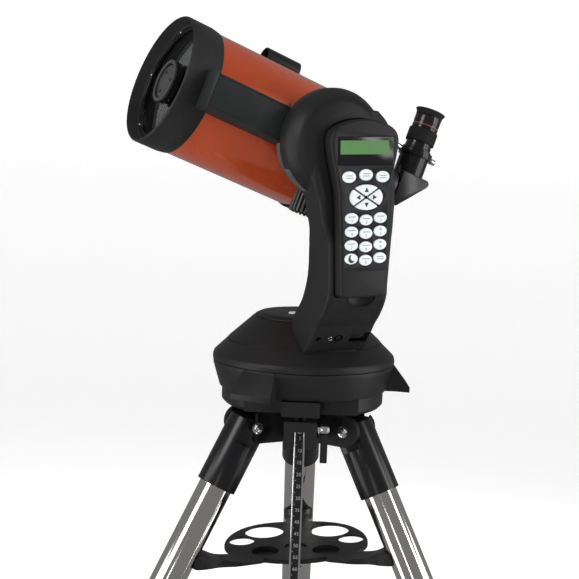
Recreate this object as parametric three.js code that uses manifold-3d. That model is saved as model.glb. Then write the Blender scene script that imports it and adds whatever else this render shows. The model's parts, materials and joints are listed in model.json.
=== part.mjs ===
// Schmidt-Cassegrain telescope on a single-arm computerised mount and a folding steel tripod.
// Millimetres, +Z up. Before the last shift, the azimuth axis is the Z axis and z = 0 is the
// height at which the leg centrelines are LEG_RADIUS from it. The altitude axis runs along Y,
// the tube points to -X and up, and the arm stands on the -Y side.
import * as THREE from 'three';
import { mergeVertices } from 'three/addons/utils/BufferGeometryUtils.js';
import Module from 'manifold-3d';

const wasm = await Module();
wasm.setup();

// ---- driving dimensions -------------------------------------------------------------------

const DEG = Math.PI / 180;
const GAP = 0.3;                      // space left between touching pieces

// tripod
const FLOOR_DEPTH = 800;              // floor below z = 0, legs not extended
const ROW_SHIFT = [122.63, -6.4];     // moves the footprint's centre to the origin
const TRIPOD_TURN = -28.58;           // degrees: tripod relative to the arm
const LEG_NAMES = ['rear', 'left', 'right'];
const LEG_AZIMUTHS = [90, 210, 330];
const LEG_SPLAY = 28.475;             // degrees from vertical
const LEG_RADIUS = 75.07;
const PIVOT_Z = 10;
const PIVOT_RADIUS = LEG_RADIUS - PIVOT_Z * Math.tan(LEG_SPLAY * DEG);
const TUBE_R = 19.05;                 // 1.5 inch leg tube
const TUBE_WALL = 1.6;
const TUBE_END = 640;                 // along the leg, from its pivot
const SLEEVE_R = 22.8;
const SLEEVE_END = 78.5;
const LOWER_R = 15.9;                 // 1.25 inch lower leg
const EAR_R = 18;
const EAR_INNER = 18.3;
const EAR_OUTER = 25;
const BOLT_R = 4;
const HUB_R = 42;
const HUB_BOTTOM = -8;
const HUB_TOP = 26;
const PLATE_R = 93;
const PLATE_BOTTOM = 31;
const PLATE_TOP = 50;
const HINGE_Y = 84;
const HINGE_Z = 38;
const BAR_Y = -88;
const BAR_PIVOT_Z = 24;
const BAR_END = -205;
const BAR_WIDTH = 12;
const BAR_THICK = 6;
const CLAMP_Z = 19;
const TRAY_Z = -145.5;
const TRAY_PITCH = 2;                 // degrees: the tray hangs slightly low at the front
const TRAY_ROLL = -4;                 // and slightly low on the left
const TRAY_THICK = 3.4;

// mount
const BASE_R = 104.6;
const BASE_BOTTOM = PLATE_TOP + GAP;
const BASE_TOP = 81;
const BASE_LOW_R = 96;
const FOOT_AZIMUTHS = [3, 123, 243];
const FOOT_REACH = 121.5;
const TABLE_BOTTOM = BASE_TOP + 0.4;
const BAND_Z = 104.5;
const BAND_R = 87.5;
const LID_R = 57.5;
const LID_Z = 131;
const LID_TOP = 137;
const SKIN = 3.5;                     // moulding thickness
const AZ_GEAR_R = 62;
const WORM_R = 6;
const ALT_X = -31;                    // altitude axis
const ALT_Z = 329.7;
const ALT_GEAR_R = 38;
const BOSS_R = 58.5;
const BOSS_INNER_Y = -92.8;
const SEAM_Y = -98;
const COVER_BOTTOM = 137;
const PANEL_Y = -97.5;                // centre of the connector panel
const PANEL_Z = 120.5;
const PANEL_LEAN = 36.9;              // degrees the panel faces below the horizon

// optical tube, along its own axis from the azimuth axis
const TUBE_AXIS_Z = 321.7;
const ALTITUDE = 20.52;               // degrees
const FRONT_S = 200;
const CELL_R = 71.8;
const OTA_R = 69.6;
const OTA_WALL = 1.8;
const REAR_LIP_S = 5;
const REAR_S = -79;
const CORRECTOR_S = 184;
const SECONDARY_R = 23.8;
const SECONDARY_S = 193.7;
const MIRROR_R = 64;
const MIRROR_S = -34;
const BAFFLE_R = 17;
const BAR_OUT_Y = -88;                // outer face of the dovetail bar
const BAR_IN_Y = -73;
const BAR_DROP = -3.3;
const HUB_DISC_R = 54;
const DIAGONAL_S = -130;
const KNOB_V = -34;
const KNOB_Y = 30;
const FINDER_V = 76.5;
const FINDER_Y = 28;

// hand controller, in its own frame: x across, z up, front towards -y
const CASE_X = -9.6;
const CASE_Y = -115;
const CASE_Z = 264;
const CASE_LEAN = -2;
const CASE_DEPTH = 30;
const KEY_PROUD = 1.5;
const KEY_BACK = -27;
const KEY_FLOOR = -25.6;
const KEY_GAP = 0.35;

// Heights of the arm with its left, right, inner and outer faces.
const COLUMN = [
  [97, -43, 30, -46, -73], [103, -43, 30, -46, -82.5], [120, -43, 30, -46, -97], [136, -43, 30, -46.5, -108],
  [146, -43, 30, -54, -117], [158, -42.5, 30, -64, -125], [170, -42, 30, -70, -130],
  [186, -42, 30, -75.5, -131],
  [206, -43, 31, -79, -131], [228, -46.5, 32, -81, -131], [243, -51, 33, -89.5, -131],
  [256, -54.5, 33.5, -92, -131], [270, -57.5, 34, -93, -131], [286, -63, 34, -93, -130],
  [302, -66, 33, -93, -129], [330, -68, 30, -93, -128], [352, -62, 24, -94, -127],
  [366, -50, 12, -95, -125],
];

// ---- helpers ------------------------------------------------------------------------------

function signedVolume(position, index) {
  const a = new THREE.Vector3();
  const b = new THREE.Vector3();
  const c = new THREE.Vector3();
  let volume = 0;
  for (let i = 0; i < index.length; i += 3) {
    a.fromArray(position, index[i] * 3);
    b.fromArray(position, index[i + 1] * 3);
    c.fromArray(position, index[i + 2] * 3);
    volume += a.dot(b.cross(c)) / 6;
  }
  return volume;
}

// A closed BufferGeometry as a solid, its faces turned outward.
function solid(geometry) {
  const bare = geometry.clone();
  bare.deleteAttribute('normal');
  bare.deleteAttribute('uv');
  const merged = mergeVertices(bare, 1e-3);
  const position = new Float32Array(merged.attributes.position.array);
  const triangles = [];
  for (let i = 0; i < merged.index.count; i += 3) {
    const [p, q, r] = [0, 1, 2].map((k) => merged.index.getX(i + k));
    if (p !== q && q !== r && r !== p) triangles.push(p, q, r);
  }
  if (signedVolume(position, triangles) < 0) triangles.reverse();
  const triVerts = new Uint32Array(triangles);
  return new wasm.Manifold(new wasm.Mesh({ numProp: 3, vertProperties: position, triVerts }));
}

function geometryOf(body) {
  const mesh = body.getMesh();
  const geometry = new THREE.BufferGeometry();
  geometry.setAttribute('position', new THREE.BufferAttribute(new Float32Array(mesh.vertProperties), 3));
  geometry.setIndex(new THREE.BufferAttribute(new Uint32Array(mesh.triVerts), 1));
  return geometry;
}

function join(...parts) {
  return geometryOf(parts.map(solid).reduce((a, b) => a.add(b)));
}

function cut(base, ...tools) {
  return geometryOf(tools.map(solid).reduce((a, b) => a.subtract(b), solid(base)));
}

function common(a, b) {
  return geometryOf(solid(a).intersect(solid(b)));
}

function box(x0, x1, y0, y1, z0, z1) {
  const geometry = new THREE.BoxGeometry(x1 - x0, y1 - y0, z1 - z0);
  return geometry.translate((x0 + x1) / 2, (y0 + y1) / 2, (z0 + z1) / 2);
}

// A turned piece about Z. The profile is [radius, z] pairs that start and end on the axis,
// or come back to their first point.
function turned(profile, segments = 32) {
  const points = profile.map(([r, z]) => new THREE.Vector2(r, z));
  return new THREE.LatheGeometry(points, segments).rotateX(Math.PI / 2);
}

function disc(r, z0, z1, segments = 24) {
  return turned([[0, z0], [r, z0], [r, z1], [0, z1]], segments);
}

function ring(inner, outer, z0, z1, segments = 24) {
  return turned([[inner, z0], [outer, z0], [outer, z1], [inner, z1], [inner, z0]], segments);
}

// A round bar of radius r from point a to point b.
function rod(r, a, b, segments = 12) {
  const from = new THREE.Vector3(...a);
  const span = new THREE.Vector3(...b).sub(from);
  const up = new THREE.Vector3(0, 0, 1);
  const turn = new THREE.Quaternion().setFromUnitVectors(up, span.clone().normalize());
  return disc(r, 0, span.length(), segments).applyQuaternion(turn).translate(from.x, from.y, from.z);
}

// An outline of [x, y] points, extruded from z0 to z1.
function prism(points, z0, z1) {
  const shape = new THREE.Shape(points.map(([x, y]) => new THREE.Vector2(x, y)));
  const geometry = new THREE.ExtrudeGeometry(shape, { depth: z1 - z0, bevelEnabled: false });
  return geometry.translate(0, 0, z0);
}

// The same outline standing up: its points are [x, z], extruded from y0 to y1.
function upright(points, y0, y1) {
  return prism(points, -y1, -y0).rotateX(Math.PI / 2);
}

function ellipse(rx, ry, x = 0, y = 0, segments = 14) {
  return Array.from({ length: segments }, (_, i) => {
    const a = (2 * Math.PI * i) / segments;
    return [x + rx * Math.cos(a), y + ry * Math.sin(a)];
  });
}

function roundedBox(x0, x1, y0, y1, r, steps = 3) {
  const centres = [[x1 - r, y1 - r], [x0 + r, y1 - r], [x0 + r, y0 + r], [x1 - r, y0 + r]];
  const points = [];
  centres.forEach(([cx, cy], quarter) => {
    for (let i = 0; i <= steps; i += 1) {
      const a = (quarter + i / steps) * (Math.PI / 2);
      points.push([cx + r * Math.cos(a), cy + r * Math.sin(a)]);
    }
  });
  return points;
}

// A skin through equal-length horizontal outlines [[x, y]...] at given heights, closed at both ends.
function loft(levels) {
  const count = levels[0].outline.length;
  const vertices = [];
  const index = [];
  levels.forEach(({ z, outline }) => outline.forEach(([x, y]) => vertices.push(x, y, z)));
  for (let k = 0; k + 1 < levels.length; k += 1) {
    for (let i = 0; i < count; i += 1) {
      const a = k * count + i;
      const b = k * count + ((i + 1) % count);
      index.push(a, b, b + count, a, b + count, a + count);
    }
  }
  const top = (levels.length - 1) * count;
  for (let i = 1; i + 1 < count; i += 1) {
    index.push(0, i + 1, i);
    index.push(top, top + i, top + i + 1);
  }
  const geometry = new THREE.BufferGeometry();
  geometry.setAttribute('position', new THREE.Float32BufferAttribute(vertices, 3));
  geometry.setIndex(index);
  return geometry;
}

function finish(color, roughness, metalness) {
  return new THREE.MeshStandardMaterial({ color, roughness, metalness });
}

const blackPlastic = () => finish(0x1c1c1e, 0.6, 0);
const crinkleBlack = () => finish(0x2b2b2d, 0.8, 0.2);
const orangePaint = () => finish(0xb8431f, 0.3, 0.3);
const steel = () => finish(0xc9c7c2, 0.22, 1);
const darkMetal = () => finish(0x232326, 0.45, 0.6);
const brass = () => finish(0xb08d45, 0.35, 1);
const rubber = () => finish(0x151515, 0.9, 0);
const keyWhite = () => finish(0xdadfe0, 0.5, 0);

function piece(group, name, geometry, material) {
  const mesh = new THREE.Mesh(geometryOf(solid(geometry)), material);
  mesh.name = name;
  group.add(mesh);
  return mesh;
}

function subgroup(parent, position, rotation = [0, 0, 0]) {
  const group = new THREE.Group();
  group.position.set(...position);
  group.rotation.set(...rotation.map((angle) => angle * DEG));
  parent.add(group);
  return group;
}

const telescope = new THREE.Group();
const whole = subgroup(telescope, [ROW_SHIFT[0], ROW_SHIFT[1], FLOOR_DEPTH]);

// ---- tripod -------------------------------------------------------------------------------

const tripod = subgroup(whole, [0, 0, 0], [0, 0, TRIPOD_TURN]);

function tripodHub() {
  let hub = disc(HUB_R, HUB_BOTTOM, HUB_TOP, 28);
  const legWell = PIVOT_RADIUS + EAR_R;
  for (const azimuth of LEG_AZIMUTHS) {
    const ears = [-1, 1].map((side) => {
      const t0 = side > 0 ? EAR_INNER : -EAR_OUTER;
      const t1 = side > 0 ? EAR_OUTER : -EAR_INNER;
      const web = box(20, PIVOT_RADIUS, t0, t1, PIVOT_Z - EAR_R, HUB_TOP);
      const round = disc(EAR_R, t0, t1, 18).rotateX(-Math.PI / 2).translate(PIVOT_RADIUS, 0, PIVOT_Z);
      return join(web, round);
    });
    hub = join(hub, join(...ears).rotateZ(azimuth * DEG));
  }
  // hinge ears for the tilting plate stand beside the rear leg
  for (const side of [-1, 1]) {
    const x0 = side > 0 ? 28 : -36;
    const rear = [[30, 0], [HINGE_Y - 8, 20], [HINGE_Y + 6, HINGE_Z - 2], [HINGE_Y, HINGE_Z + 6],
      [HINGE_Y - 8, HINGE_Z], [HINGE_Y - 16, HUB_TOP], [30, HUB_TOP]];
    const web = upright(rear, -(x0 + 8), -x0).rotateZ(Math.PI / 2);
    hub = join(hub, web);
  }
  // split block that guides the latitude bar, bridged at the front
  const cheekX = BAR_WIDTH / 2 + 1;
  const block = box(-17.5, 18.5, -100, -30, -2, 28);
  const slot = box(-cheekX, cheekX, -96, -38, -30, 60);
  const mouth = box(-cheekX, cheekX, -120, -90, -30, CLAMP_Z - 2);
  hub = cut(join(hub, block), slot, mouth);
  const screwHole = rod(4.3, [15, BAR_Y, CLAMP_Z], [30, BAR_Y, CLAMP_Z]);
  const trayRod = rod(4, [0, 0, HUB_BOTTOM + 2], [0, 0, TRAY_Z - 22], 12);
  const legClearance = LEG_AZIMUTHS.map((azimuth) => (
    box(44, legWell, -EAR_INNER, EAR_INNER, -40, 60).rotateZ(azimuth * DEG)));
  const bolts = LEG_AZIMUTHS.map((azimuth) => rod(
    BOLT_R, [PIVOT_RADIUS, -EAR_OUTER - 3, PIVOT_Z], [PIVOT_RADIUS, EAR_OUTER + 3, PIVOT_Z], 10,
  ).rotateZ(azimuth * DEG));
  return join(cut(hub, screwHole, ...legClearance), trayRod, ...bolts);
}

function tiltPlate() {
  const profile = [[0, PLATE_TOP], [PLATE_R, PLATE_TOP], [PLATE_R, PLATE_BOTTOM + 4],
    [PLATE_R - 4, PLATE_BOTTOM], [PLATE_R - 10, PLATE_BOTTOM], [PLATE_R - 10, PLATE_TOP - 7],
    [0, PLATE_TOP - 7]];
  const tongue = box(-21, 21, -98, -60, 33, PLATE_TOP - 0.5);
  const flatEnds = [box(-120, 120, -120, -68, 0, 90), box(-120, 120, HINGE_Y + 4, 120, 0, 90)];
  const frontWall = box(-63, 63, -68, -63, PLATE_BOTTOM, PLATE_TOP - 5);
  let plate = join(cut(turned(profile, 40), ...flatEnds), tongue, frontWall);
  for (const side of [-1, 1]) {
    const x0 = side > 0 ? 36.4 : -43.4;
    const lug = join(box(x0, x0 + 7, HINGE_Y - 7, HINGE_Y + 3, HINGE_Z, PLATE_TOP - 2),
      rod(7, [x0, HINGE_Y - 2, HINGE_Z], [x0 + 7, HINGE_Y - 2, HINGE_Z]));
    plate = join(plate, lug);
  }
  // clear the hub's hinge ears, then put the hinge pin stubs back
  plate = cut(plate, box(-36.4, 36.4, HINGE_Y - 30, HINGE_Y + 20, 0, HINGE_Z + 7));
  const eye = (x0, x1) => join(box(x0, x1, BAR_Y - 4, BAR_Y + 4, BAR_PIVOT_Z, PLATE_TOP - 4),
    rod(4, [x0, BAR_Y, BAR_PIVOT_Z], [x1, BAR_Y, BAR_PIVOT_Z]));
  return join(plate, eye(-6.5, -2.4), eye(2.4, 6.5));
}

function latitudeBar() {
  const low = box(-BAR_WIDTH / 2, BAR_WIDTH / 2, BAR_Y - BAR_THICK / 2, BAR_Y + BAR_THICK / 2, BAR_END, 18);
  const neck = box(-2, 2, BAR_Y - BAR_THICK / 2, BAR_Y + BAR_THICK / 2, 14, BAR_PIVOT_Z);
  const eye = rod(3.6, [-2, BAR_Y, BAR_PIVOT_Z], [2, BAR_Y, BAR_PIVOT_Z]);
  return join(low, neck, eye);
}

function clampLever() {
  const screw = rod(4, [16, BAR_Y, CLAMP_Z], [32, BAR_Y, CLAMP_Z]);
  const arm = box(22.5, 31, BAR_Y - 4, BAR_Y + 4, CLAMP_Z - 37, CLAMP_Z);
  return join(screw, arm, rod(6, [22.5, BAR_Y, CLAMP_Z], [31, BAR_Y, CLAMP_Z]));
}

// Accessory tray: a thin plate with four holes and two shallow cups, and an arm to each leg. The
// front arms rise to their legs.
function accessoryTray() {
  const right = [[0, -45], [20, -43], [46, -34], [66, -24], [80, -12], [85, 4], [85, 22], [80, 46],
    [66, 70], [46, 84], [20, 90]];
  const left = right.slice(1).reverse().map(([x, y]) => [-x, y]);
  const frontEdge = [[-78, -11], [-66, -23], [-46, -33], [-20, -42], [0, -44], [20, -42], [46, -33],
    [66, -23],
    [78, -11], [55.3, 6.4], [-55.3, 6.4]];
  let tray = join(prism([...right, ...left], 0, TRAY_THICK), prism(frontEdge, -2.5, 1));
  const armPlan = prism([[50, -22], [84, -15], [106, -13], [122, -18], [140, -18], [140, 18], [122, 18],
    [106, 13], [84, 15], [50, 22]], -10, 40);
  const frontArm = [[50, 0], [84, 0], [140, 8], [140, 20], [118, 20], [100, 10], [72, TRAY_THICK],
    [50, TRAY_THICK]];
  const rearArm = [[50, 0], [110, 0], [116, -3], [140, -3], [140, 6], [110, 6], [104, TRAY_THICK],
    [50, TRAY_THICK]];
  LEG_AZIMUTHS.forEach((azimuth, i) => {
    const arm = common(armPlan, upright(i === 0 ? rearArm : frontArm, -30, 30));
    tray = join(tray, arm.rotateZ(azimuth * DEG));
  });
  const hole = (r, x, y, n = 16) => prism(ellipse(r, r, x, y, n), -5, TRAY_THICK + 5);
  const holes = [hole(6, 0, 0, 12), disc(13, 1.6, TRAY_THICK + 5)];
  for (const side of [-1, 1]) {
    holes.push(hole(24, side * 39.5, 56, 22), hole(15.6, side * 65, 24));
    holes.push(prism(ellipse(16, 16, side * 35.5, -13.5, 16), -1.5, TRAY_THICK + 5));
  }
  const gusset = upright([[88, TRAY_THICK - 1], [126, TRAY_THICK - 1], [126, 18]], -2, 2)
    .rotateZ(Math.PI / 2);
  return join(cut(tray, ...holes), gusset);
}

piece(tripod, 'tripod_hub', tripodHub(), darkMetal());
piece(tripod, 'tilt_plate', tiltPlate(), blackPlastic());
piece(tripod, 'latitude_bar', latitudeBar(), steel());
piece(tripod, 'clamp_lever', clampLever(), blackPlastic());

function legSleeve() {
  const outer = disc(SLEEVE_R, -SLEEVE_END, 6);
  const lug = rod(EAR_R - 2, [0, -EAR_INNER + GAP, 0], [0, EAR_INNER - GAP, 0], 18);
  const shoulder = box(-EAR_R + 2, EAR_R - 2, -EAR_INNER + GAP, EAR_INNER - GAP, -30, 0);
  const barrel = cut(outer, box(-40, 40, -40, 40, -EAR_R - 1, 20));
  const bore = disc(TUBE_R + GAP + 0.2, -SLEEVE_END - 5, -24);
  return cut(join(barrel, lug, shoulder), bore, rod(BOLT_R + GAP + 0.2, [0, -40, 0], [0, 40, 0], 10));
}

function legTube() {
  const collar = ring(TUBE_R - TUBE_WALL, 24, -TUBE_END - 4, -TUBE_END + 40);
  return join(ring(TUBE_R - TUBE_WALL, TUBE_R, -TUBE_END, -25), collar);
}

function legExtension() {
  const reach = (FLOOR_DEPTH + PIVOT_Z) / Math.cos(LEG_SPLAY * DEG);
  const inside = 330;
  const foot = turned([[0, -reach - 30], [17, -reach - 30], [20, -reach + 8], [19, -reach + 24],
    [LOWER_R + 2, -reach + 44], [0, -reach + 44]], 16);
  const ground = box(-200, 200, -200, 200, -200, 0).translate(0, 0, -FLOOR_DEPTH - PIVOT_Z);
  // into the radial frame of a leg that slopes outward, then back along the leg
  ground.translate(Math.tan(LEG_SPLAY * DEG) * reach, 0, 0).rotateY(LEG_SPLAY * DEG);
  return cut(join(disc(LOWER_R, -reach + 20, -inside, 16), foot), ground);
}

const legFrames = LEG_AZIMUTHS.map((azimuth) => {
  const radial = subgroup(tripod, [0, 0, 0], [0, 0, azimuth]);
  return subgroup(radial, [PIVOT_RADIUS, 0, PIVOT_Z], [0, -LEG_SPLAY, 0]);
});
legFrames.forEach((leg, i) => {
  piece(leg, `leg_sleeve_${LEG_NAMES[i]}`, legSleeve(), blackPlastic());
  piece(leg, `leg_tube_${LEG_NAMES[i]}`, legTube(), steel());
  piece(leg, `leg_extension_${LEG_NAMES[i]}`, legExtension(), steel());
});

// The tray's arms are cupped round the leg tubes, so it is cut in the tripod's frame.
function fittedTray() {
  const tilt = new THREE.Euler(TRAY_PITCH * DEG, TRAY_ROLL * DEG, 0);
  const placed = accessoryTray().applyQuaternion(new THREE.Quaternion().setFromEuler(tilt));
  placed.translate(0, 0, TRAY_Z);
  const legs = LEG_AZIMUTHS.map((azimuth) => {
    const bar = disc(TUBE_R + 0.6, -260, -60, 18).rotateY(-LEG_SPLAY * DEG);
    return bar.translate(PIVOT_RADIUS, 0, PIVOT_Z).rotateZ(azimuth * DEG);
  });
  const beyond = LEG_AZIMUTHS.map((azimuth) => {
    const block = box(0, 90, -60, 60, -260, -60).rotateY(-LEG_SPLAY * DEG);
    return block.translate(PIVOT_RADIUS - 9, 0, PIVOT_Z).rotateZ(azimuth * DEG);
  });
  return cut(placed, ...legs, ...beyond);
}
piece(tripod, 'accessory_tray', fittedTray(), blackPlastic());

// ---- mount base ---------------------------------------------------------------------------

// A spreading foot of the base: a wedge from the rim out to the floor of the base.
function baseFoot(azimuth) {
  const wedge = upright([[70, BASE_TOP - 4], [BASE_R - 1.5, BASE_TOP - 1], [FOOT_REACH, BASE_BOTTOM + 6],
    [FOOT_REACH, BASE_BOTTOM], [70, BASE_BOTTOM]], -25, 25);
  const trim = prism([[60, -19], [BASE_R, -20], [FOOT_REACH + 1, -25], [FOOT_REACH + 1, 25], [BASE_R, 20],
    [60, 19]], 0, 100);
  return common(wedge, trim).rotateZ((azimuth + TRIPOD_TURN) * DEG);
}

function baseLower() {
  const bowl = turned([[0, BASE_TOP], [BASE_R - 0.6, BASE_TOP], [BASE_R - 0.6, BASE_TOP - 4],
    [BASE_LOW_R, BASE_BOTTOM], [0, BASE_BOTTOM]], 44);
  const hollow = turned([[0, BASE_TOP - SKIN], [BASE_R - 9, BASE_TOP - SKIN],
    [BASE_LOW_R - 5, BASE_BOTTOM - 5], [0, BASE_BOTTOM - 5]], 28);
  const spigot = disc(18, BASE_TOP - 10, 86, 24);
  const shell = join(cut(bowl, hollow), disc(24, BASE_BOTTOM, BASE_TOP - 1, 24), spigot);
  return join(shell, ...FOOT_AZIMUTHS.map(baseFoot));
}

function tableOutside() {
  return turned([[0, LID_TOP], [LID_R + 1.5, LID_Z], [BAND_R, BAND_Z + 0.6], [BAND_R + 0.8, BAND_Z - 0.8],
    [BASE_R - 1, 89], [BASE_R, 85], [BASE_R, TABLE_BOTTOM], [0, TABLE_BOTTOM]], 44);
}

function turntable() {
  const inside = turned([[0, LID_TOP - 4], [LID_R - 3, LID_Z - 3.5], [BAND_R - 3, BAND_Z - 3], [BASE_R - 5, 88],
    [BASE_R - 5, TABLE_BOTTOM - 5], [0, TABLE_BOTTOM - 5]], 30);
  const wellBlock = box(-47, 34, -92, -42, 92.5, 150);
  const shell = cut(tableOutside(), cut(inside, wellBlock));
  const lidSeat = disc(LID_R - 4, 100, 160, 30);
  const lidRebate = disc(LID_R + GAP, LID_Z - GAP, 160, 40);
  const keepArmSide = box(-80, 80, -80, -42, 90, 160);
  return cut(shell, cut(lidSeat, keepArmSide), lidRebate, column(-GAP));
}

function batteryCover() {
  const lid = turned([[0, LID_TOP + 0.4], [30, LID_TOP], [LID_R - 6, LID_TOP - 1.6], [LID_R, LID_Z + 1.5],
    [LID_R, LID_Z], [0, LID_Z]], 40);
  return cut(lid, box(-80, 80, -80, -46 + 2 * GAP, 100, 160), disc(6.2, LID_TOP - 2, LID_TOP + 4, 20)
    .translate(-22, -13, 0));
}

const mount = subgroup(whole, [0, 0, 0]);
piece(mount, 'base_lower', baseLower(), blackPlastic());
piece(mount, 'turntable', turntable(), blackPlastic());
piece(mount, 'battery_cover', batteryCover(), blackPlastic());
piece(mount, 'azimuth_gear', ring(18 + GAP, AZ_GEAR_R, 84.5, 91, 36), brass());
const WORM_Y = AZ_GEAR_R + WORM_R + 0.4;
piece(mount, 'azimuth_worm', rod(WORM_R, [-18, WORM_Y, 88], [18, WORM_Y, 88]), brass());

// ---- arm ----------------------------------------------------------------------------------

// The column's skin, moved inward by inset on all sides.
function column(inset) {
  const last = COLUMN.length - 1;
  const levels = COLUMN.map(([z, left, right, inner, outer], i) => {
    const height = z + (i === 0 ? inset : 0) - (i === last ? inset : 0);
    const [x0, x1, y0, y1] = [left + inset, right - inset, outer + inset, inner - inset];
    const crease = y1 > -88 ? y1 - 4 : Math.min(y1 - 1, SEAM_Y + 2);
    const turnIn = y1 - crease > 2 ? 3.5 : 1.5;
    const outline = [[x0 + turnIn, y1], [x0, crease], [x0, y0 + 3], [x0 + 3, y0], [x1 - 3, y0], [x1, y0 + 3],
      [x1, crease], [x1 - turnIn, y1]];
    return { z: height, outline };
  });
  return loft(levels);
}

// The round head of the arm about the altitude axis.
function boss(inset) {
  const r = BOSS_R - inset;
  const profile = [[0, -BOSS_INNER_Y + inset], [r - 2, -BOSS_INNER_Y + inset], [r, -BOSS_INNER_Y + 2 + inset],
    [r, 108], [r - 3, 115], [r - 8, 123 - inset], [r - 14, 127 - inset], [r - 26, 129.5 - inset],
    [0, 130.5 - inset]];
  return turned(profile, 36).rotateX(Math.PI / 2).translate(ALT_X, 0, ALT_Z);
}

// Front outline of the hand controller: narrow at the foot, shoulders and a low dome at the top.
function caseOutline(grow) {
  const right = [[26.5 + grow, -92.5 - grow], [28 + grow, -30], [30.5 + grow, 20], [39 + grow, 58],
    [40.8 + grow, 72], [37.4 + 0.8 * grow, 81 + 0.5 * grow], [29 + 0.5 * grow, 87 + 0.9 * grow],
    [14 + 0.2 * grow, 91.5 + grow], [0, 93 + grow]];
  const left = right.slice(0, -1).reverse().map(([x, z]) => [-x, z]);
  return [...right, ...left];
}

function inCradle(geometry) {
  return geometry.rotateY(CASE_LEAN * DEG).translate(CASE_X, CASE_Y, CASE_Z);
}

function armSkins() {
  const outside = join(column(0), boss(0));
  const pocket = inCradle(upright(caseOutline(1.3), -60, 0.4));
  // a shallow scoop under the controller's foot, so that a finger can lift it out
  const scoop = new THREE.SphereGeometry(1, 20, 12).scale(18, 9, 15).translate(-3.2, -131, 169);
  const trimmed = cut(outside, pocket, scoop);
  const deepest = box(-200, 200, CASE_Y + 0.4 + SKIN, 0, 104, 400);
  const cavity = common(join(column(SKIN), boss(SKIN)), deepest);
  const shaftHole = rod(14.5, [ALT_X, -80, ALT_Z], [ALT_X, -100, ALT_Z], 20);
  return cut(trimmed, cavity, shaftHole);
}

// A socket pressed into the connector panel, x across and z up the panel.
function panelTool(points, depth) {
  const tool = upright(points, -6, depth);
  return tool.rotateX(PANEL_LEAN * DEG).translate(0, PANEL_Y, PANEL_Z);
}

const coverRegion = box(-200, 200, -200, SEAM_Y, COVER_BOTTOM, 500);
const armRegionGap = box(-200, 200, -200, SEAM_Y + GAP, COVER_BOTTOM - GAP, 500);
const skins = armSkins();
const sockets = [
  panelTool(ellipse(3.2, 3.2, -35, 0, 12), 9),
  panelTool(ellipse(3, 3, -20.5, 0, 12), 9),
  panelTool(roundedBox(4, 27, -8, 8, 1.5, 2), 9),
  panelTool(ellipse(5.4, 5.4, -10.5, 0, 14), 7),
];
piece(mount, 'arm_frame', cut(skins, armRegionGap, ...sockets), blackPlastic());
piece(mount, 'arm_cover', common(skins, coverRegion), blackPlastic());
piece(mount, 'power_switch',
  rod(4, [-13.5, 0, 0], [-7.5, 0, 0], 12).translate(0, PANEL_Y + 1.2, PANEL_Z + 0.9), blackPlastic());

// Head that turns on the altitude axis: a disc with a channel for the dovetail bar, and a shaft.
const tubeFrame = { position: [0, 0, TUBE_AXIS_Z], rotation: [0, ALTITUDE - 90, 0] };
function alongTube(geometry) {
  return geometry.rotateY((ALTITUDE - 90) * DEG).translate(0, 0, TUBE_AXIS_Z);
}
function barSection(grow, s0, s1) {
  const points = [[BAR_DROP - 22 - grow, BAR_IN_Y], [BAR_DROP - 19 - grow, BAR_OUT_Y - grow],
    [BAR_DROP + 19 + grow, BAR_OUT_Y - grow], [BAR_DROP + 22 + grow, BAR_IN_Y]];
  return prism(points, s0, s1);
}
function altitudeHub() {
  const y0 = BOSS_INNER_Y + GAP;
  const wheel = rod(HUB_DISC_R, [ALT_X, y0, ALT_Z], [ALT_X, -76, ALT_Z], 40);
  const shaft = rod(14, [ALT_X, -107, ALT_Z], [ALT_X, y0 + 1, ALT_Z], 20);
  return cut(join(wheel, shaft), alongTube(barSection(GAP, -200, 300)));
}
piece(mount, 'altitude_hub', altitudeHub(), crinkleBlack());
const altGear = ring(14 + GAP, ALT_GEAR_R, 97.5, 103.5, 28).rotateX(Math.PI / 2);
piece(mount, 'altitude_gear', altGear.translate(ALT_X, 0, ALT_Z), brass());
const wormX = ALT_X + ALT_GEAR_R + WORM_R + 0.4;
piece(mount, 'altitude_worm', rod(WORM_R, [wormX, -103.4, ALT_Z - 14], [wormX, -103.4, ALT_Z + 14]), brass());

// ---- optical tube: x is up across the tube, y along the altitude axis, z along the tube ------

const ota = subgroup(whole, tubeFrame.position, tubeFrame.rotation);

function frontCell() {
  return turned([
    [CELL_R - 1.2, FRONT_S], [CELL_R, FRONT_S - 1.2], [CELL_R, 171], [OTA_R + 1.2, 163], [OTA_R + GAP, 163],
    [OTA_R + GAP, 171.4], [64, 171.4], [64, CORRECTOR_S - 4.6], [67, CORRECTOR_S - 4.6],
    [67, CORRECTOR_S + 0.6], [63.5, CORRECTOR_S + 0.6], [63.5, CORRECTOR_S + 3.5], [68, CORRECTOR_S + 3.5],
    [69.6, FRONT_S], [CELL_R - 1.2, FRONT_S],
  ], 40);
}
function rearCell() {
  const fins = [];
  for (let i = 0; i < 5; i += 1) {
    const s = -6 - 5.5 * i;
    fins.push([72.2, s], [69, s - 3.2]);
  }
  return turned([
    [OTA_R + GAP, REAR_LIP_S], [OTA_R + 1.6, REAR_LIP_S], [OTA_R + 1.6, -2], ...fins,
    [69.6, -36], [68, -58], [60, -72], [48, REAR_S], [BAFFLE_R + GAP, REAR_S], [BAFFLE_R + GAP, REAR_S + 5],
    [46, REAR_S + 5], [56, -67], [66, -56], [66, -4], [OTA_R + GAP, -4], [OTA_R + GAP, REAR_LIP_S],
  ], 40);
}
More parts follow.
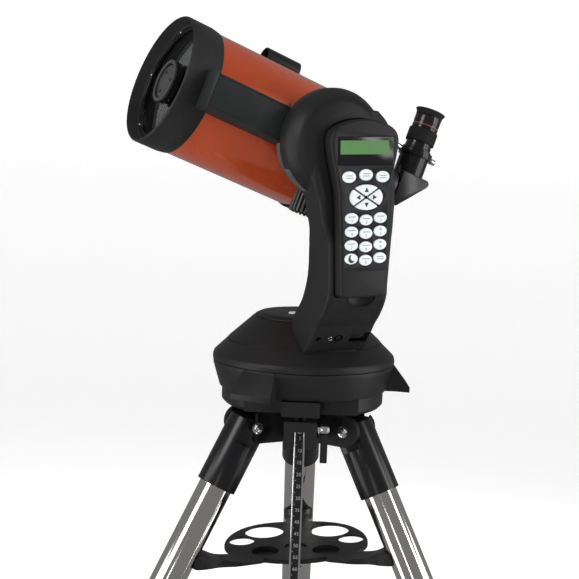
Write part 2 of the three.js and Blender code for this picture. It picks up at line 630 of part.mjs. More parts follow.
function secondaryHolder() {
  return turned([[0, CORRECTOR_S - 17], [20, CORRECTOR_S - 17], [SECONDARY_R, CORRECTOR_S - 4.8],
    [15.6, CORRECTOR_S - 4.8], [15.6, CORRECTOR_S + 0.8], [SECONDARY_R, CORRECTOR_S + 0.8],
    [SECONDARY_R, SECONDARY_S], [SECONDARY_R - 3.4, SECONDARY_S], [SECONDARY_R - 4, SECONDARY_S - 2],
    [0, SECONDARY_S - 2]], 24);
}
function primaryMirror() {
  const dish = [[21, MIRROR_S + 4.6], [42, MIRROR_S + 6], [MIRROR_R - 1, MIRROR_S + 8.6]];
  return turned([[21, MIRROR_S - 8], [MIRROR_R, MIRROR_S - 8], [MIRROR_R, MIRROR_S + 8], ...dish.reverse(),
    [21, MIRROR_S - 8]], 32);
}

piece(ota, 'front_cell', frontCell(), crinkleBlack());
piece(ota, 'optical_tube', ring(OTA_R - OTA_WALL, OTA_R, -3.5, 171, 40), orangePaint());
piece(ota, 'corrector_plate', ring(16, 66.6, CORRECTOR_S - 4, CORRECTOR_S, 36), finish(0xdfe6ea, 0.05, 0));
piece(ota, 'secondary_holder', secondaryHolder(), darkMetal());
piece(ota, 'primary_mirror', primaryMirror(), finish(0xd8dbe0, 0.05, 1));
piece(ota, 'baffle_tube', ring(BAFFLE_R - 1.5, BAFFLE_R, REAR_S - 6, 62, 20), blackPlastic());
piece(ota, 'rear_cell', rearCell(), crinkleBlack());
const barBody = cut(barSection(0, -52, 179), rod(CELL_R + GAP, [0, 0, -80], [0, 0, 220], 40));
piece(ota, 'dovetail_bar', barBody, darkMetal());

function focusKnob() {
  const knob = turned([[0, REAR_S - 3], [5, REAR_S - 3], [5, REAR_S - 7], [11, REAR_S - 8], [12, REAR_S - 24],
    [10.5, REAR_S - 26], [0, REAR_S - 26]], 16);
  return knob.translate(KNOB_V, KNOB_Y, 0);
}
function visualBack() {
  return turned([[BAFFLE_R + GAP, REAR_S - GAP], [25, REAR_S - GAP], [25, REAR_S - 10], [20, REAR_S - 11],
    [20, REAR_S - 31], [16.2, REAR_S - 31], [16.2, REAR_S - 7], [BAFFLE_R + GAP, REAR_S - 6.4],
    [BAFFLE_R + GAP, REAR_S - GAP]], 24);
}
piece(ota, 'focus_knob', focusKnob(), rubber());
piece(ota, 'visual_back', visualBack(), darkMetal());

// Right-angle prism housing with its nose in the visual back and a holder for the eyepiece.
function diagonal() {
  const side = [[21, -112], [21, -148.6], [17.5, -151.5], [12.7, -149.5], [-21, -119], [-21, -112]];
  const housing = upright(side, -19, 19);
  const nose = rod(15.8, [0, 0, -113], [0, 0, -96], 20);
  const holder = rod(17.5, [18, 0, DIAGONAL_S], [47, 0, DIAGONAL_S], 24);
  const collar = rod(20, [44, 0, DIAGONAL_S], [51, 0, DIAGONAL_S], 24);
  const lightPath = rod(11, [0, 0, -90], [0, 0, DIAGONAL_S + 6], 16);
  const bore = rod(16.2, [20, 0, DIAGONAL_S], [60, 0, DIAGONAL_S], 20);
  const upward = rod(11, [6, 0, DIAGONAL_S], [30, 0, DIAGONAL_S], 16);
  return cut(join(housing, nose, holder, collar), bore, lightPath, upward);
}
function onEyepieceAxis(geometry) {
  return geometry.rotateY(Math.PI / 2).translate(0, 0, DIAGONAL_S);
}
function eyepiece() {
  return onEyepieceAxis(turned([[0, 26], [15.8, 26], [15.8, 51.4], [17.4, 51.4], [17.4, 54], [15.8, 55],
    [15.8, 61], [17.4, 61.6], [17.4, 76.4], [15.8, 77], [15.8, 94], [0, 94]], 24));
}
function eyeCup() {
  return onEyepieceAxis(turned([[11.5, 94 + GAP], [15.8, 94 + GAP], [16, 97], [18, 101], [14.6, 101],
    [11.5, 97],
    [11.5, 94 + GAP]], 24));
}
piece(ota, 'diagonal', diagonal(), blackPlastic());
piece(ota, 'eyepiece', eyepiece(), darkMetal());
piece(ota, 'eye_cup', eyeCup(), rubber());

// Red-dot finder: an open hood on a long flat rail, with a saddle on the rear cell.
function finder() {
  const hood = cut(rod(11.6, [FINDER_V + 0.6, FINDER_Y, 40], [FINDER_V + 0.6, FINDER_Y, 84], 20),
    rod(10, [FINDER_V + 0.6, FINDER_Y, 30], [FINDER_V + 0.6, FINDER_Y, 100], 20));
  const rail = box(FINDER_V - 4, FINDER_V - 1, FINDER_Y - 8, FINDER_Y + 8, -38, 43);
  const lamp = box(FINDER_V - 3, FINDER_V + 1, FINDER_Y - 8, FINDER_Y + 8, -38, -8);
  const saddle = cut(box(60, FINDER_V - 2, FINDER_Y - 10, FINDER_Y + 10, -34, -12),
    rod(72.2 + GAP, [0, 0, -60], [0, 0, 40], 36));
  const bridge = box(FINDER_V - 4.5, FINDER_V - 0.5, FINDER_Y - 10, FINDER_Y + 10, 40, 44);
  return join(hood, rail, bridge, lamp, saddle);
}
piece(ota, 'red_dot_finder', finder(), blackPlastic());

// ---- hand controller ------------------------------------------------------------------------

const handset = subgroup(whole, [CASE_X, CASE_Y, CASE_Z], [0, CASE_LEAN, 0]);
const FRONT = -CASE_DEPTH;
const SIDE_PITCH = 17.2;
const keys = [];
for (const [name, x, z] of [['key_menu', -20, 33.4], ['key_enter', 0, 35.5], ['key_back', 20, 33.4]]) {
  keys.push({ name, outline: ellipse(7.9, 5.9, x + 0.2, z) });
}
const NUMBER_KEYS = ['key_1', 'key_2', 'key_3', 'key_4', 'key_5', 'key_6', 'key_7', 'key_8', 'key_9',
  'key_lamp',
  'key_0', 'key_help'];
NUMBER_KEYS.forEach((name, i) => {
  const column3 = (i % 3) - 1;
  const x = column3 * SIDE_PITCH + 1;
  const z = -9.2 - 14 * Math.floor(i / 3) - (column3 === 0 ? 2 : 0);
  keys.push({ name, outline: ellipse(7.6, 5.6, x, z) });
});
const PAD = { x: 0.8, z: 12.3, rx: 20, rz: 13.7 };

// One quarter of the oval direction pad, between two diagonal gaps.
function padKey(angle) {
  const oval = upright(ellipse(PAD.rx, PAD.rz, 0, 0, 28), FRONT - KEY_PROUD, KEY_BACK);
  const vertical = Math.abs(Math.sin(angle)) > 0.5;
  const half = (vertical ? 58.5 : 31.5) * DEG;
  const apex = 1 / Math.sin(half);
  const at = (r, a) => [r * Math.cos(a) + apex * Math.cos(angle), r * Math.sin(a) + apex * Math.sin(angle)];
  const wedge = upright([at(0, angle), at(60, angle - half), at(60, angle + half)], FRONT - 20, 0);
  return common(oval, wedge).translate(PAD.x, 0, PAD.z);
}

const windowBox = [-33, 33.5, 45.5, 74.5];
function handsetCase() {
  const body = upright(caseOutline(0), -CASE_DEPTH + 2.3, 0);
  const chamfered = new THREE.ExtrudeGeometry(
    new THREE.Shape(caseOutline(-2.2).map(([x, z]) => new THREE.Vector2(x, z))),
    { depth: 1, bevelEnabled: true, bevelSize: 2.1, bevelThickness: 2, bevelSegments: 2 },
  ).rotateX(Math.PI / 2).translate(0, -CASE_DEPTH + 2 + 1, 0);
  const wells = keys.map(({ outline }) => {
    const count = outline.length;
    const centre = outline.reduce(([x, z], p) => [x + p[0] / count, z + p[1] / count], [0, 0]);
    const grown = outline.map(([x, z]) => {
      const reach = Math.hypot(x - centre[0], z - centre[1]);
      const scale = 1 + KEY_GAP / reach;
      return [centre[0] + (x - centre[0]) * scale, centre[1] + (z - centre[1]) * scale];
    });
    return upright(grown, FRONT - 10, KEY_FLOOR);
  });
  const padEdge = ellipse(PAD.rx + KEY_GAP, PAD.rz + KEY_GAP, PAD.x, PAD.z, 28);
  const padWell = upright(padEdge, FRONT - 10, KEY_FLOOR);
  const [x0, x1, z0, z1] = windowBox;
  const windowWell = box(x0 - GAP, x1 + GAP, FRONT - 10, FRONT + 2, z0 - GAP, z1 + GAP);
  return cut(join(body, chamfered), ...wells, padWell, windowWell);
}
piece(handset, 'controller_case', handsetCase(), blackPlastic());
const [winL, winR, winB, winT] = windowBox;
piece(handset, 'controller_display', box(winL, winR, FRONT - 0.3, FRONT + 2 - GAP, winB, winT),
  finish(0x3d6b3a, 0.2, 0));
keys.forEach(({ name, outline }) => {
  piece(handset, name, upright(outline, FRONT - KEY_PROUD, KEY_BACK), keyWhite());
});
const PAD_KEYS = [['key_right', 0], ['key_up', 90], ['key_left', 180], ['key_down', 270]];
PAD_KEYS.forEach(([name, angle]) => piece(handset, name, padKey(angle * DEG), keyWhite()));

export default telescope;
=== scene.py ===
# Looks of the Schmidt-Cassegrain telescope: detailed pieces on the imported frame, studio and camera.
# Shapes are made in millimetres in a local frame (mount, tripod, leg, tube or controller) and
# then placed in the row's frame, in metres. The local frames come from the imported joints.
import json
import math

import bmesh
import bpy
from mathutils import Matrix, Vector


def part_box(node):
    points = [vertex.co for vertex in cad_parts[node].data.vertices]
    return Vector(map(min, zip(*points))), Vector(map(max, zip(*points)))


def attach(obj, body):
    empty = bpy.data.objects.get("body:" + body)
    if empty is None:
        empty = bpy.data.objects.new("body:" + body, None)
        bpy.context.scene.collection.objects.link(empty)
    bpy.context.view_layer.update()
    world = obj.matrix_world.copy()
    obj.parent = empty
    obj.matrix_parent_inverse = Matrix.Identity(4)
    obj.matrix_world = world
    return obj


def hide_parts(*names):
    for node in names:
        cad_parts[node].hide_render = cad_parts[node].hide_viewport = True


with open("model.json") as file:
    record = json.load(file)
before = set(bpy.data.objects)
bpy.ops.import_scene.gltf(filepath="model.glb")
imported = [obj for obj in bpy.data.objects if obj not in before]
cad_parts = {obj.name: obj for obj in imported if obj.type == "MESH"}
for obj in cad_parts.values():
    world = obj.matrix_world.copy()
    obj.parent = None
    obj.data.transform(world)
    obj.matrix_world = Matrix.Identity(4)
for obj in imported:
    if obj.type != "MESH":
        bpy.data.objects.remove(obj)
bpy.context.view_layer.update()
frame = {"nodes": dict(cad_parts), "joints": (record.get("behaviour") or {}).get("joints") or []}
joints = {joint["name"]: joint for joint in frame["joints"]}


# ---- local frames ------------------------------------------------------------------------

def local_frame(origin, x, y, z):
    """Matrix from millimetres in a local frame to metres in the row's frame."""
    axes = Matrix((Vector(x).normalized(), Vector(y).normalized(), Vector(z).normalized())).transposed()
    matrix = axes.to_4x4() @ Matrix.Scale(0.001, 4)
    matrix.translation = Vector(origin)
    return matrix


def joint_at(name):
    return Vector(joints[name]["pos_m"])


def joint_axis(name):
    return Vector(joints[name]["axis"])


AZIMUTH_JOINT_Z = 100
ORIGIN = joint_at("azimuth_turn") - Vector((0, 0, AZIMUTH_JOINT_Z * 0.001))
MOUNT = local_frame(ORIGIN, (1, 0, 0), (0, 1, 0), (0, 0, 1))
ACROSS = joint_axis("lever_turn")
TRIPOD = local_frame(ORIGIN, ACROSS, Vector((0, 0, 1)).cross(ACROSS), (0, 0, 1))
TRIPOD_TURN = math.atan2(ACROSS.y, ACROSS.x)
ALONG = joint_axis("tube_slide")
UP_TUBE = joint_axis("eyepiece_slide")
NOSE_S = -113
TUBE = local_frame(joint_at("diagonal_turn") - ALONG * NOSE_S * 0.001, UP_TUBE, (0, 1, 0), ALONG)
ALT_X, ALT_Z = ((MOUNT.inverted() @ joint_at("altitude_tilt"))[i] for i in (0, 2))
LEG_NAMES = ("rear", "left", "right")
LEG_FRAMES = {}
for leg_name in LEG_NAMES:
    back_up = -joint_axis("leg_extend_" + leg_name)
    tangent = joint_axis("leg_fold_" + leg_name)
    LEG_FRAMES[leg_name] = local_frame(joint_at("leg_fold_" + leg_name), tangent.cross(back_up), tangent,
                                       back_up)
case_low, case_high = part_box("controller_case")
CASE_LEAN = math.radians(-2)
case_middle = (case_low + case_high) / 2
CASE = local_frame((case_middle.x, case_high.y, case_middle.z),
                   (math.cos(CASE_LEAN), 0, -math.sin(CASE_LEAN)),
                   (0, 1, 0), (math.sin(CASE_LEAN), 0, math.cos(CASE_LEAN)))
CASE_IN_MOUNT = MOUNT.inverted() @ CASE


# ---- materials ---------------------------------------------------------------------------

def settings(node, values):
    for socket, value in values.items():
        node.inputs[socket].default_value = value


def surface(name, colour, rough, metal=0.0, grain=900.0, bump=0.12, depth=0.0002, mottle=0.12, coat=0.0,
            specular=0.5, stretch=(1, 1, 1), coords="Object", transmission=0.0, ior=1.45,
            rough_spread=0.05):
    """Principled surface with fine grain in its bump and slow mottling in colour and roughness."""
    made = bpy.data.materials.new(name)
    made.use_nodes = True
    nodes, links = made.node_tree.nodes, made.node_tree.links
    shader = nodes["Principled BSDF"]
    settings(shader, {"Metallic": metal, "Coat Weight": coat, "Coat Roughness": 0.06,
                      "Specular IOR Level": specular, "Transmission Weight": transmission, "IOR": ior})
    place = nodes.new("ShaderNodeTexCoord")
    mapping = nodes.new("ShaderNodeMapping")
    settings(mapping, {"Scale": stretch})
    links.new(place.outputs[coords], mapping.inputs["Vector"])
    broad = nodes.new("ShaderNodeTexNoise")
    fine = nodes.new("ShaderNodeTexNoise")
    for noise, scale, detail in ((broad, 18, 3), (fine, grain, 4)):
        settings(noise, {"Scale": scale, "Detail": detail})
        links.new(mapping.outputs["Vector"], noise.inputs["Vector"])
    ramp = nodes.new("ShaderNodeValToRGB")
    low_end, high_end = ramp.color_ramp.elements
    low_end.position, high_end.position = 0.3, 0.7
    low_end.color = [c * (1 - mottle) for c in colour] + [1]
    high_end.color = [min(1, c * (1 + mottle)) for c in colour] + [1]
    links.new(broad.outputs["Fac"], ramp.inputs["Fac"])
    links.new(ramp.outputs["Color"], shader.inputs["Base Color"])
    spread = nodes.new("ShaderNodeMapRange")
    settings(spread, {"From Min": 0.3, "From Max": 0.7, "To Min": max(0.01, rough - rough_spread),
                      "To Max": rough + rough_spread})
    links.new(fine.outputs["Fac"], spread.inputs["Value"])
    links.new(spread.outputs["Result"], shader.inputs["Roughness"])
    relief = nodes.new("ShaderNodeBump")
    settings(relief, {"Strength": bump, "Distance": depth})
    links.new(fine.outputs["Fac"], relief.inputs["Height"])
    links.new(relief.outputs["Normal"], shader.inputs["Normal"])
    return made


SATIN = surface("satin_black_plastic", (0.0095, 0.0095, 0.010), 0.44, grain=1400, bump=0.25, specular=0.26)
SLEEVE = surface("sleeve_plastic", (0.006, 0.006, 0.007), 0.24, grain=900, bump=0.0, specular=0.4,
                 rough_spread=0.01)
CRINKLE = surface("crinkle_paint", (0.012, 0.012, 0.0125), 0.5, grain=620, bump=0.8, depth=0.0005,
                  mottle=0.3,
                  specular=0.34)
HUB_CRINKLE = surface("hub_crinkle_paint", (0.05, 0.05, 0.052), 0.55, grain=520, bump=0.9, depth=0.0006,
                      mottle=0.5, specular=0.5)
# Paler colour for the clamp knob's rib crests: a painted highlight on the black knob.
RIB_PAINTED_HIGHLIGHT = surface("rib_crests_painted_highlight", (0.048, 0.046, 0.041), 0.42, grain=900, bump=0.3, specular=0.5)
ORANGE = surface("orange_metallic", (0.44, 0.058, 0.012), 0.28, metal=0.45, grain=2600, bump=0.03,
                 mottle=0.06,
                 coat=1.0)
STEEL = surface("polished_steel", (0.74, 0.72, 0.69), 0.1, metal=1.0, grain=260, bump=0.05,
                stretch=(1, 0.02, 1),
                coords="UV", mottle=0.05, rough_spread=0.03)
CHROME = surface("chrome", (0.8, 0.8, 0.8), 0.08, metal=1.0, grain=1200, bump=0.05, mottle=0.04,
                 rough_spread=0.03)
DARK_METAL = surface("dark_anodised", (0.018, 0.018, 0.019), 0.34, metal=0.2, grain=1500, bump=0.12)
BAR_PANEL = surface("bar_panel", (0.014, 0.015, 0.0155), 0.45, grain=1500, bump=0.2, specular=0.3)
RUBBER = surface("rubber", (0.01, 0.01, 0.01), 0.75, grain=700, bump=0.35, specular=0.3)
GLOSS = surface("gloss_black", (0.006, 0.006, 0.007), 0.16, grain=600, bump=0.02, specular=0.5)
INNER_BLACK = surface("flat_black", (0.006, 0.006, 0.006), 0.7, grain=800, bump=0.2, specular=0.15)
KEY = surface("key_white", (0.62, 0.66, 0.67), 0.42, grain=1500, bump=0.1, mottle=0.04)
KEY_PRINT = surface("key_print", (0.02, 0.02, 0.02), 0.5, grain=1500, bump=0.05)
PALE_PRINT = surface("key_print_pale", (0.2, 0.21, 0.22), 0.5, grain=1500, bump=0.05)
LCD = surface("green_display", (0.045, 0.165, 0.028), 0.35, grain=1800, bump=0.04, mottle=0.1, coat=0.6)
GLASS = surface("corrector_glass", (0.96, 0.98, 0.98), 0.02, grain=300, bump=0.0, mottle=0.01,
                transmission=1.0, ior=1.2, rough_spread=0.0)
MIRROR = surface("mirror_coating", (0.80, 0.74, 0.80), 0.03, metal=1.0, grain=200, bump=0.0, mottle=0.02,
                 rough_spread=0.005)
BRASS = surface("machined_brass", (0.6, 0.42, 0.17), 0.3, metal=1.0, grain=1200, bump=0.1)
RING_GREY = surface("holder_ring", (0.03, 0.03, 0.031), 0.4, grain=1200, bump=0.2)
WHITE = surface("white_print", (0.75, 0.75, 0.73), 0.5, grain=1200, bump=0.05)
RED_RING = surface("red_ring", (0.22, 0.05, 0.03), 0.4, grain=1200, bump=0.05)
LEVEL = surface("level_vial", (0.55, 0.66, 0.45), 0.1, grain=500, bump=0.0, mottle=0.1, coat=1.0)


# ---- shapes ------------------------------------------------------------------------------

def soften(points, radius, closed=True, steps=3):
    """Rounds the corners of an outline."""
    count = len(points)
    out = []
    for i, corner in enumerate(points):
        if not closed and i in (0, count - 1):
            out.append(tuple(corner))
            continue
        here = Vector(corner)
        before, after = Vector(points[i - 1]) - here, Vector(points[(i + 1) % count]) - here
        reach = min(radius, before.length * 0.45, after.length * 0.45)
        start, end = here + before.normalized() * reach, here + after.normalized() * reach
        for k in range(steps + 1):
            t = k / steps
            out.append(tuple(start * (1 - t) ** 2 + here * 2 * t * (1 - t) + end * t ** 2))
    return out


def mesh_of(verts, faces, uvs=None):
    mesh = bpy.data.meshes.new("work")
    mesh.from_pydata(verts, [], faces)
    if uvs:
        layer = mesh.uv_layers.new(name="UVMap")
        for polygon in mesh.polygons:
            values = uvs[polygon.index]
            for loop_index, value in zip(polygon.loop_indices, values):
                layer.data[loop_index].uv = value
    work = bmesh.new()
    work.from_mesh(mesh)
    bmesh.ops.remove_doubles(work, verts=work.verts, dist=1e-4)
    bmesh.ops.dissolve_degenerate(work, edges=work.edges, dist=1e-5)
    bmesh.ops.recalc_face_normals(work, faces=work.faces)
    work.to_mesh(mesh)
    work.free()
    return mesh


def turned(profile, segments=96):
    """Solid of revolution about z from [radius, height] points. Open where both ends are at radius 0."""
    open_ended = profile[0][0] == 0 and profile[-1][0] == 0
    rows = len(profile)
    verts = []
    for radius, height in profile:
        for i in range(segments):
            a = 2 * math.pi * i / segments
            verts.append((radius * math.cos(a), radius * math.sin(a), height))
    faces, uvs = [], []
    widest = max(radius for radius, _ in profile) * 0.001
    for k in range(rows - 1 if open_ended else rows):
        after = (k + 1) % rows
        for i in range(segments):
            j = (i + 1) % segments
            faces.append((k * segments + i, k * segments + j, after * segments + j, after * segments + i))
            u0, u1 = (2 * math.pi * widest * t / segments for t in (i, i + 1))
            v0, v1 = profile[k][1] * 0.001, profile[after][1] * 0.001
            uvs.append(((u0, v0), (u1, v0), (u1, v1), (u0, v1)))
    return mesh_of(verts, faces, uvs)


def spindle(profile, round_edge, segments=96):
    """Solid of revolution with rounded edges, from a profile that starts and ends on the axis."""
    return turned(soften(profile, round_edge, closed=False), segments)


def skin(rings):
    """Closed skin through rings with the same number of points, with flat ends."""
    count = len(rings[0])
    verts = [point for ring in rings for point in ring]
    faces = [tuple(range(count))]
    for k in range(len(rings) - 1):
        for i in range(count):
            j = (i + 1) % count
            faces.append((k * count + i, k * count + j, (k + 1) * count + j, (k + 1) * count + i))
    last = (len(rings) - 1) * count
    faces.append(tuple(range(last, last + count)))
    return mesh_of(verts, faces)


def prism(points, z0, z1):
    return skin([[(x, y, z0) for x, y in points], [(x, y, z1) for x, y in points]])


def upright(points, y0, y1):
    """Prism along y from an outline in x and z."""
    return skin([[(x, y0, z) for x, z in points], [(x, y1, z) for x, z in points]])


def box(x0, x1, y0, y1, z0, z1):
    return prism([(x0, y0), (x1, y0), (x1, y1), (x0, y1)], z0, z1)


def ring(inner, outer, z0, z1, segments=96, round_edge=0.0):
    profile = [(inner, z0), (outer, z0), (outer, z1), (inner, z1)]
    return turned(soften(profile, round_edge) if round_edge else profile, segments)


def disc(radius, z0, z1, segments=64, round_edge=0.0):
    profile = [(0, z0), (radius, z0), (radius, z1), (0, z1)]
    return turned(soften(profile, round_edge, closed=False) if round_edge else profile, segments)


def moved(mesh, matrix):
    mesh.transform(matrix)
    return mesh


def shifted(mesh, x=0, y=0, z=0):
    return moved(mesh, Matrix.Translation((x, y, z)))


def spun(mesh, degrees, axis="Z"):
    return moved(mesh, Matrix.Rotation(math.radians(degrees), 4, axis))


def rod(radius, start, end, segments=32, round_edge=0.0):
    a, b = Vector(start), Vector(end)
    turn = Vector((0, 0, 1)).rotation_difference(b - a).to_matrix().to_4x4()
    return moved(disc(radius, 0, (b - a).length, segments, round_edge), Matrix.Translation(a) @ turn)


def ellipse(rx, ry, x=0.0, y=0.0, count=48):
    return [(x + rx * math.cos(2 * math.pi * i / count), y + ry * math.sin(2 * math.pi * i / count))
            for i in range(count)]


def rounded_box(x0, x1, y0, y1, radius, steps=6):
    return soften([(x0, y0), (x1, y0), (x1, y1), (x0, y1)], radius * 1.6, steps=steps)


def temporary(mesh):
    made = bpy.data.objects.new("work", mesh)
    bpy.context.scene.collection.objects.link(made)
    return made


def settled(made):
    """The object's mesh with its modifiers applied; the object goes."""
    graph = bpy.context.evaluated_depsgraph_get()
    mesh = bpy.data.meshes.new_from_object(made.evaluated_get(graph), depsgraph=graph)
    bpy.data.objects.remove(made)
    return mesh


def combined(operation, base, tools):
    subject = temporary(base)
    helpers = [temporary(tool) for tool in tools]
    for helper in helpers:
        modifier = subject.modifiers.new("boolean", "BOOLEAN")
        modifier.operation = operation
        modifier.solver = "EXACT"
        modifier.object = helper
    mesh = settled(subject)
    for helper in helpers:
        bpy.data.objects.remove(helper)
    return mesh


def cut(base, *tools):
    return combined("DIFFERENCE", base, tools)


def join(base, *tools):
    return combined("UNION", base, tools)


def common(base, *tools):
    return combined("INTERSECT", base, tools)


def bevelled(mesh, width, segments=2, angle=32):
    subject = temporary(mesh)
    modifier = subject.modifiers.new("bevel", "BEVEL")
    modifier.width = width
    modifier.segments = segments
    modifier.limit_method = "ANGLE"
    modifier.angle_limit = math.radians(angle)
    return settled(subject)


def gathered(*meshes):
    """Several closed shapes as one mesh."""
    work = bmesh.new()
    for mesh in meshes:
        work.from_mesh(mesh)
    mesh = bpy.data.meshes.new("work")
    work.to_mesh(mesh)
    work.free()
    return mesh


def show(name, mesh, where, body, material, replaces=(), sharp=32):
    """Places a finished mesh as a piece that rides on a body, with its material."""
    mesh.transform(where)
    mesh.name = name
    mesh.materials.clear()
    mesh.materials.append(material)
    mesh.shade_smooth()
    mesh.set_sharp_from_angle(angle=math.radians(sharp))
    made = bpy.data.objects.new(name, mesh)
    bpy.context.scene.collection.objects.link(made)
    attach(made, body)
    if replaces:
        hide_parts(*replaces)


def lettering(text, size):
    """Flat raised characters, centred, facing -y."""
    curve = bpy.data.curves.new("work", "FONT")
    curve.body = text
    curve.size = size
    curve.align_x = "CENTER"
    curve.align_y = "CENTER"
    curve.extrude = 0.05
    return spun(settled(temporary(curve)), 90, "X")


# ---- tripod ------------------------------------------------------------------------------

TUBE_R = 19.05
SLEEVE_R = 22.8
SLEEVE_END = 78.5
EAR_R = 18
EAR_INNER = 18.3
EAR_OUTER = 25
LEG_SPLAY = math.acos(-joint_axis("leg_extend_rear").z)
PIVOT_Z = 10
PIVOT_RADIUS = ((joint_at("leg_fold_rear") - ORIGIN) * 1000).to_2d().length
FLOOR_DEPTH = ORIGIN.z * 1000
LEG_AZIMUTHS = {"rear": 90, "left": 210, "right": 330}
HUB_TOP = 26
HINGE_Y, HINGE_Z = 84, 38
BAR_Y = -88
CLAMP_Z = 19


def leg_sleeve():
    profile = soften([(19.6, -SLEEVE_END), (SLEEVE_R, -SLEEVE_END), (SLEEVE_R, 4), (SLEEVE_R - 7, 9),
                      (0, 9)],
                     1.4, closed=False)
    barrel = turned([(0, -24), (19.6, -24)] + profile, 96)
    flats = [box(-40, 40, side * 28 - 10, side * 28 + 10, -24, 30) for side in (-1, 1)]
    return bevelled(cut(barrel, *flats), 0.7)


def leg_tube():
    return turned(soften([(17.45, -640), (TUBE_R, -640), (TUBE_R, -25), (17.45, -25)], 0.4), 96)


def leg_collar():
    clamp = ring(TUBE_R - 0.5, 24, -644, -600, 72, 1.5)
    boss = box(18, 33, -8, 8, -634, -610)
    return bevelled(join(clamp, boss), 0.6)


def leg_foot():
    reach = (FLOOR_DEPTH + PIVOT_Z) / math.cos(LEG_SPLAY)
    profile = soften([(15.9, -reach + 44), (17.9, -reach + 44), (19, -reach + 24), (20, -reach + 8),
                      (17, -reach - 30), (0, -reach - 30)], 1.5, closed=False)
    foot = turned([(0, -reach + 44)] + profile, 64)
    ground = box(-200, 200, -200, 200, -200, 0)
    level = Matrix.Rotation(LEG_SPLAY, 4, "Y") @ Matrix.Translation((math.tan(LEG_SPLAY) * reach, 0, 0))
    return cut(foot, moved(ground, level @ Matrix.Translation((0, 0, -FLOOR_DEPTH - PIVOT_Z))))


def lower_leg():
    reach = (FLOOR_DEPTH + PIVOT_Z) / math.cos(LEG_SPLAY)
    return disc(15.9, -reach + 20, -330, 64)


def leg_knob():
    """Thumbscrew that locks the lower leg."""
    grip = spindle([(0, 0), (9, 0), (9, 9), (7, 11), (0, 11)], 1.2, 24)
    return shifted(spun(grip, 90, "Y"), 37, 0, -622)


for leg_name, place in LEG_FRAMES.items():
    show("sleeve_" + leg_name, leg_sleeve(), place, "leg_" + leg_name, SLEEVE,
         ["leg_sleeve_" + leg_name])
    show("upper_tube_" + leg_name, leg_tube(), place, "leg_" + leg_name, STEEL,
         ["leg_tube_" + leg_name])
    show("collar_" + leg_name, leg_collar(), place, "leg_" + leg_name, SATIN)
    show("collar_knob_" + leg_name, gathered(leg_knob(), rod(3, (30, 0, -622), (38, 0, -622))), place,
         "leg_" + leg_name, RUBBER)
    show("lower_tube_" + leg_name, lower_leg(), place, "extension_" + leg_name, STEEL,
         ["leg_extension_" + leg_name])
    show("foot_" + leg_name, leg_foot(), place, "extension_" + leg_name, RUBBER)


def tripod_hub():
    hub = disc(42, -8, HUB_TOP, 72)
    parts = []
    for azimuth in LEG_AZIMUTHS.values():
        for side in (-1, 1):
            t0, t1 = (EAR_INNER, EAR_OUTER) if side > 0 else (-EAR_OUTER, -EAR_INNER)
            web = box(20, PIVOT_RADIUS, t0, t1, PIVOT_Z - EAR_R, HUB_TOP)
            cheek = shifted(spun(disc(EAR_R, t0, t1, 48), -90, "X"), PIVOT_RADIUS, 0, PIVOT_Z)
            parts += [spun(web, azimuth), spun(cheek, azimuth)]
    for x0 in (-36, 28):
        rear = [(30, 0), (HINGE_Y - 8, 20), (HINGE_Y + 6, HINGE_Z - 2), (HINGE_Y, HINGE_Z + 6),
                (HINGE_Y - 8, HINGE_Z), (HINGE_Y - 16, HUB_TOP), (30, HUB_TOP)]
        parts.append(spun(upright(soften(rear, 2), -(x0 + 8), -x0), 90))
    parts.append(box(-17.5, 18.5, -100, -30, -2, 28))
    hub = join(hub, *parts)
    slots = [box(-7, 7, -96, -38, -30, 60), box(-7, 7, -120, -90, -30, CLAMP_Z - 2)]
    wells = [spun(box(44, PIVOT_RADIUS + EAR_R, -EAR_INNER, EAR_INNER, -40, 60), azimuth)
             for azimuth in LEG_AZIMUTHS.values()]
    hub = cut(hub, *slots, *wells, rod(4.3, (15, BAR_Y, CLAMP_Z), (30, BAR_Y, CLAMP_Z)))
    return bevelled(hub, 0.8)


def bolt(radius, reach, thick):
    """Hexagon head with a washer, its axis along z."""
    washer = disc(radius * 1.5, 0, 1.0, 40, 0.3)
    head = spindle([(0, 1), (radius * 1.1, 1), (radius * 1.1, thick - 0.8), (radius * 0.85, thick),
                    (0, thick)],
                         0.3, 6)
    return gathered(washer, head, disc(radius * 0.5, thick - 0.1, thick + reach, 24, 0.4))


def leg_bolts():
    out = []
    for azimuth in LEG_AZIMUTHS.values():
        for side in (-1, 1):
            piece = spun(bolt(4.4, 1.4, 4.2), -90 * side, "X")
            out.append(spun(shifted(piece, PIVOT_RADIUS, side * EAR_OUTER, PIVOT_Z), azimuth))
    return gathered(*out)


show("hub_casting", tripod_hub(), TRIPOD, "tripod", SATIN, ["tripod_hub"])
show("pivot_bolts", leg_bolts(), TRIPOD, "tripod", CHROME)
show("tray_rod", gathered(rod(4, (0, 0, -6), (0, 0, -167.5), 32, 0.6),
                          shifted(bolt(5, 0, 4), 0, 0, -167.5)), TRIPOD,
     "tripod", CHROME)


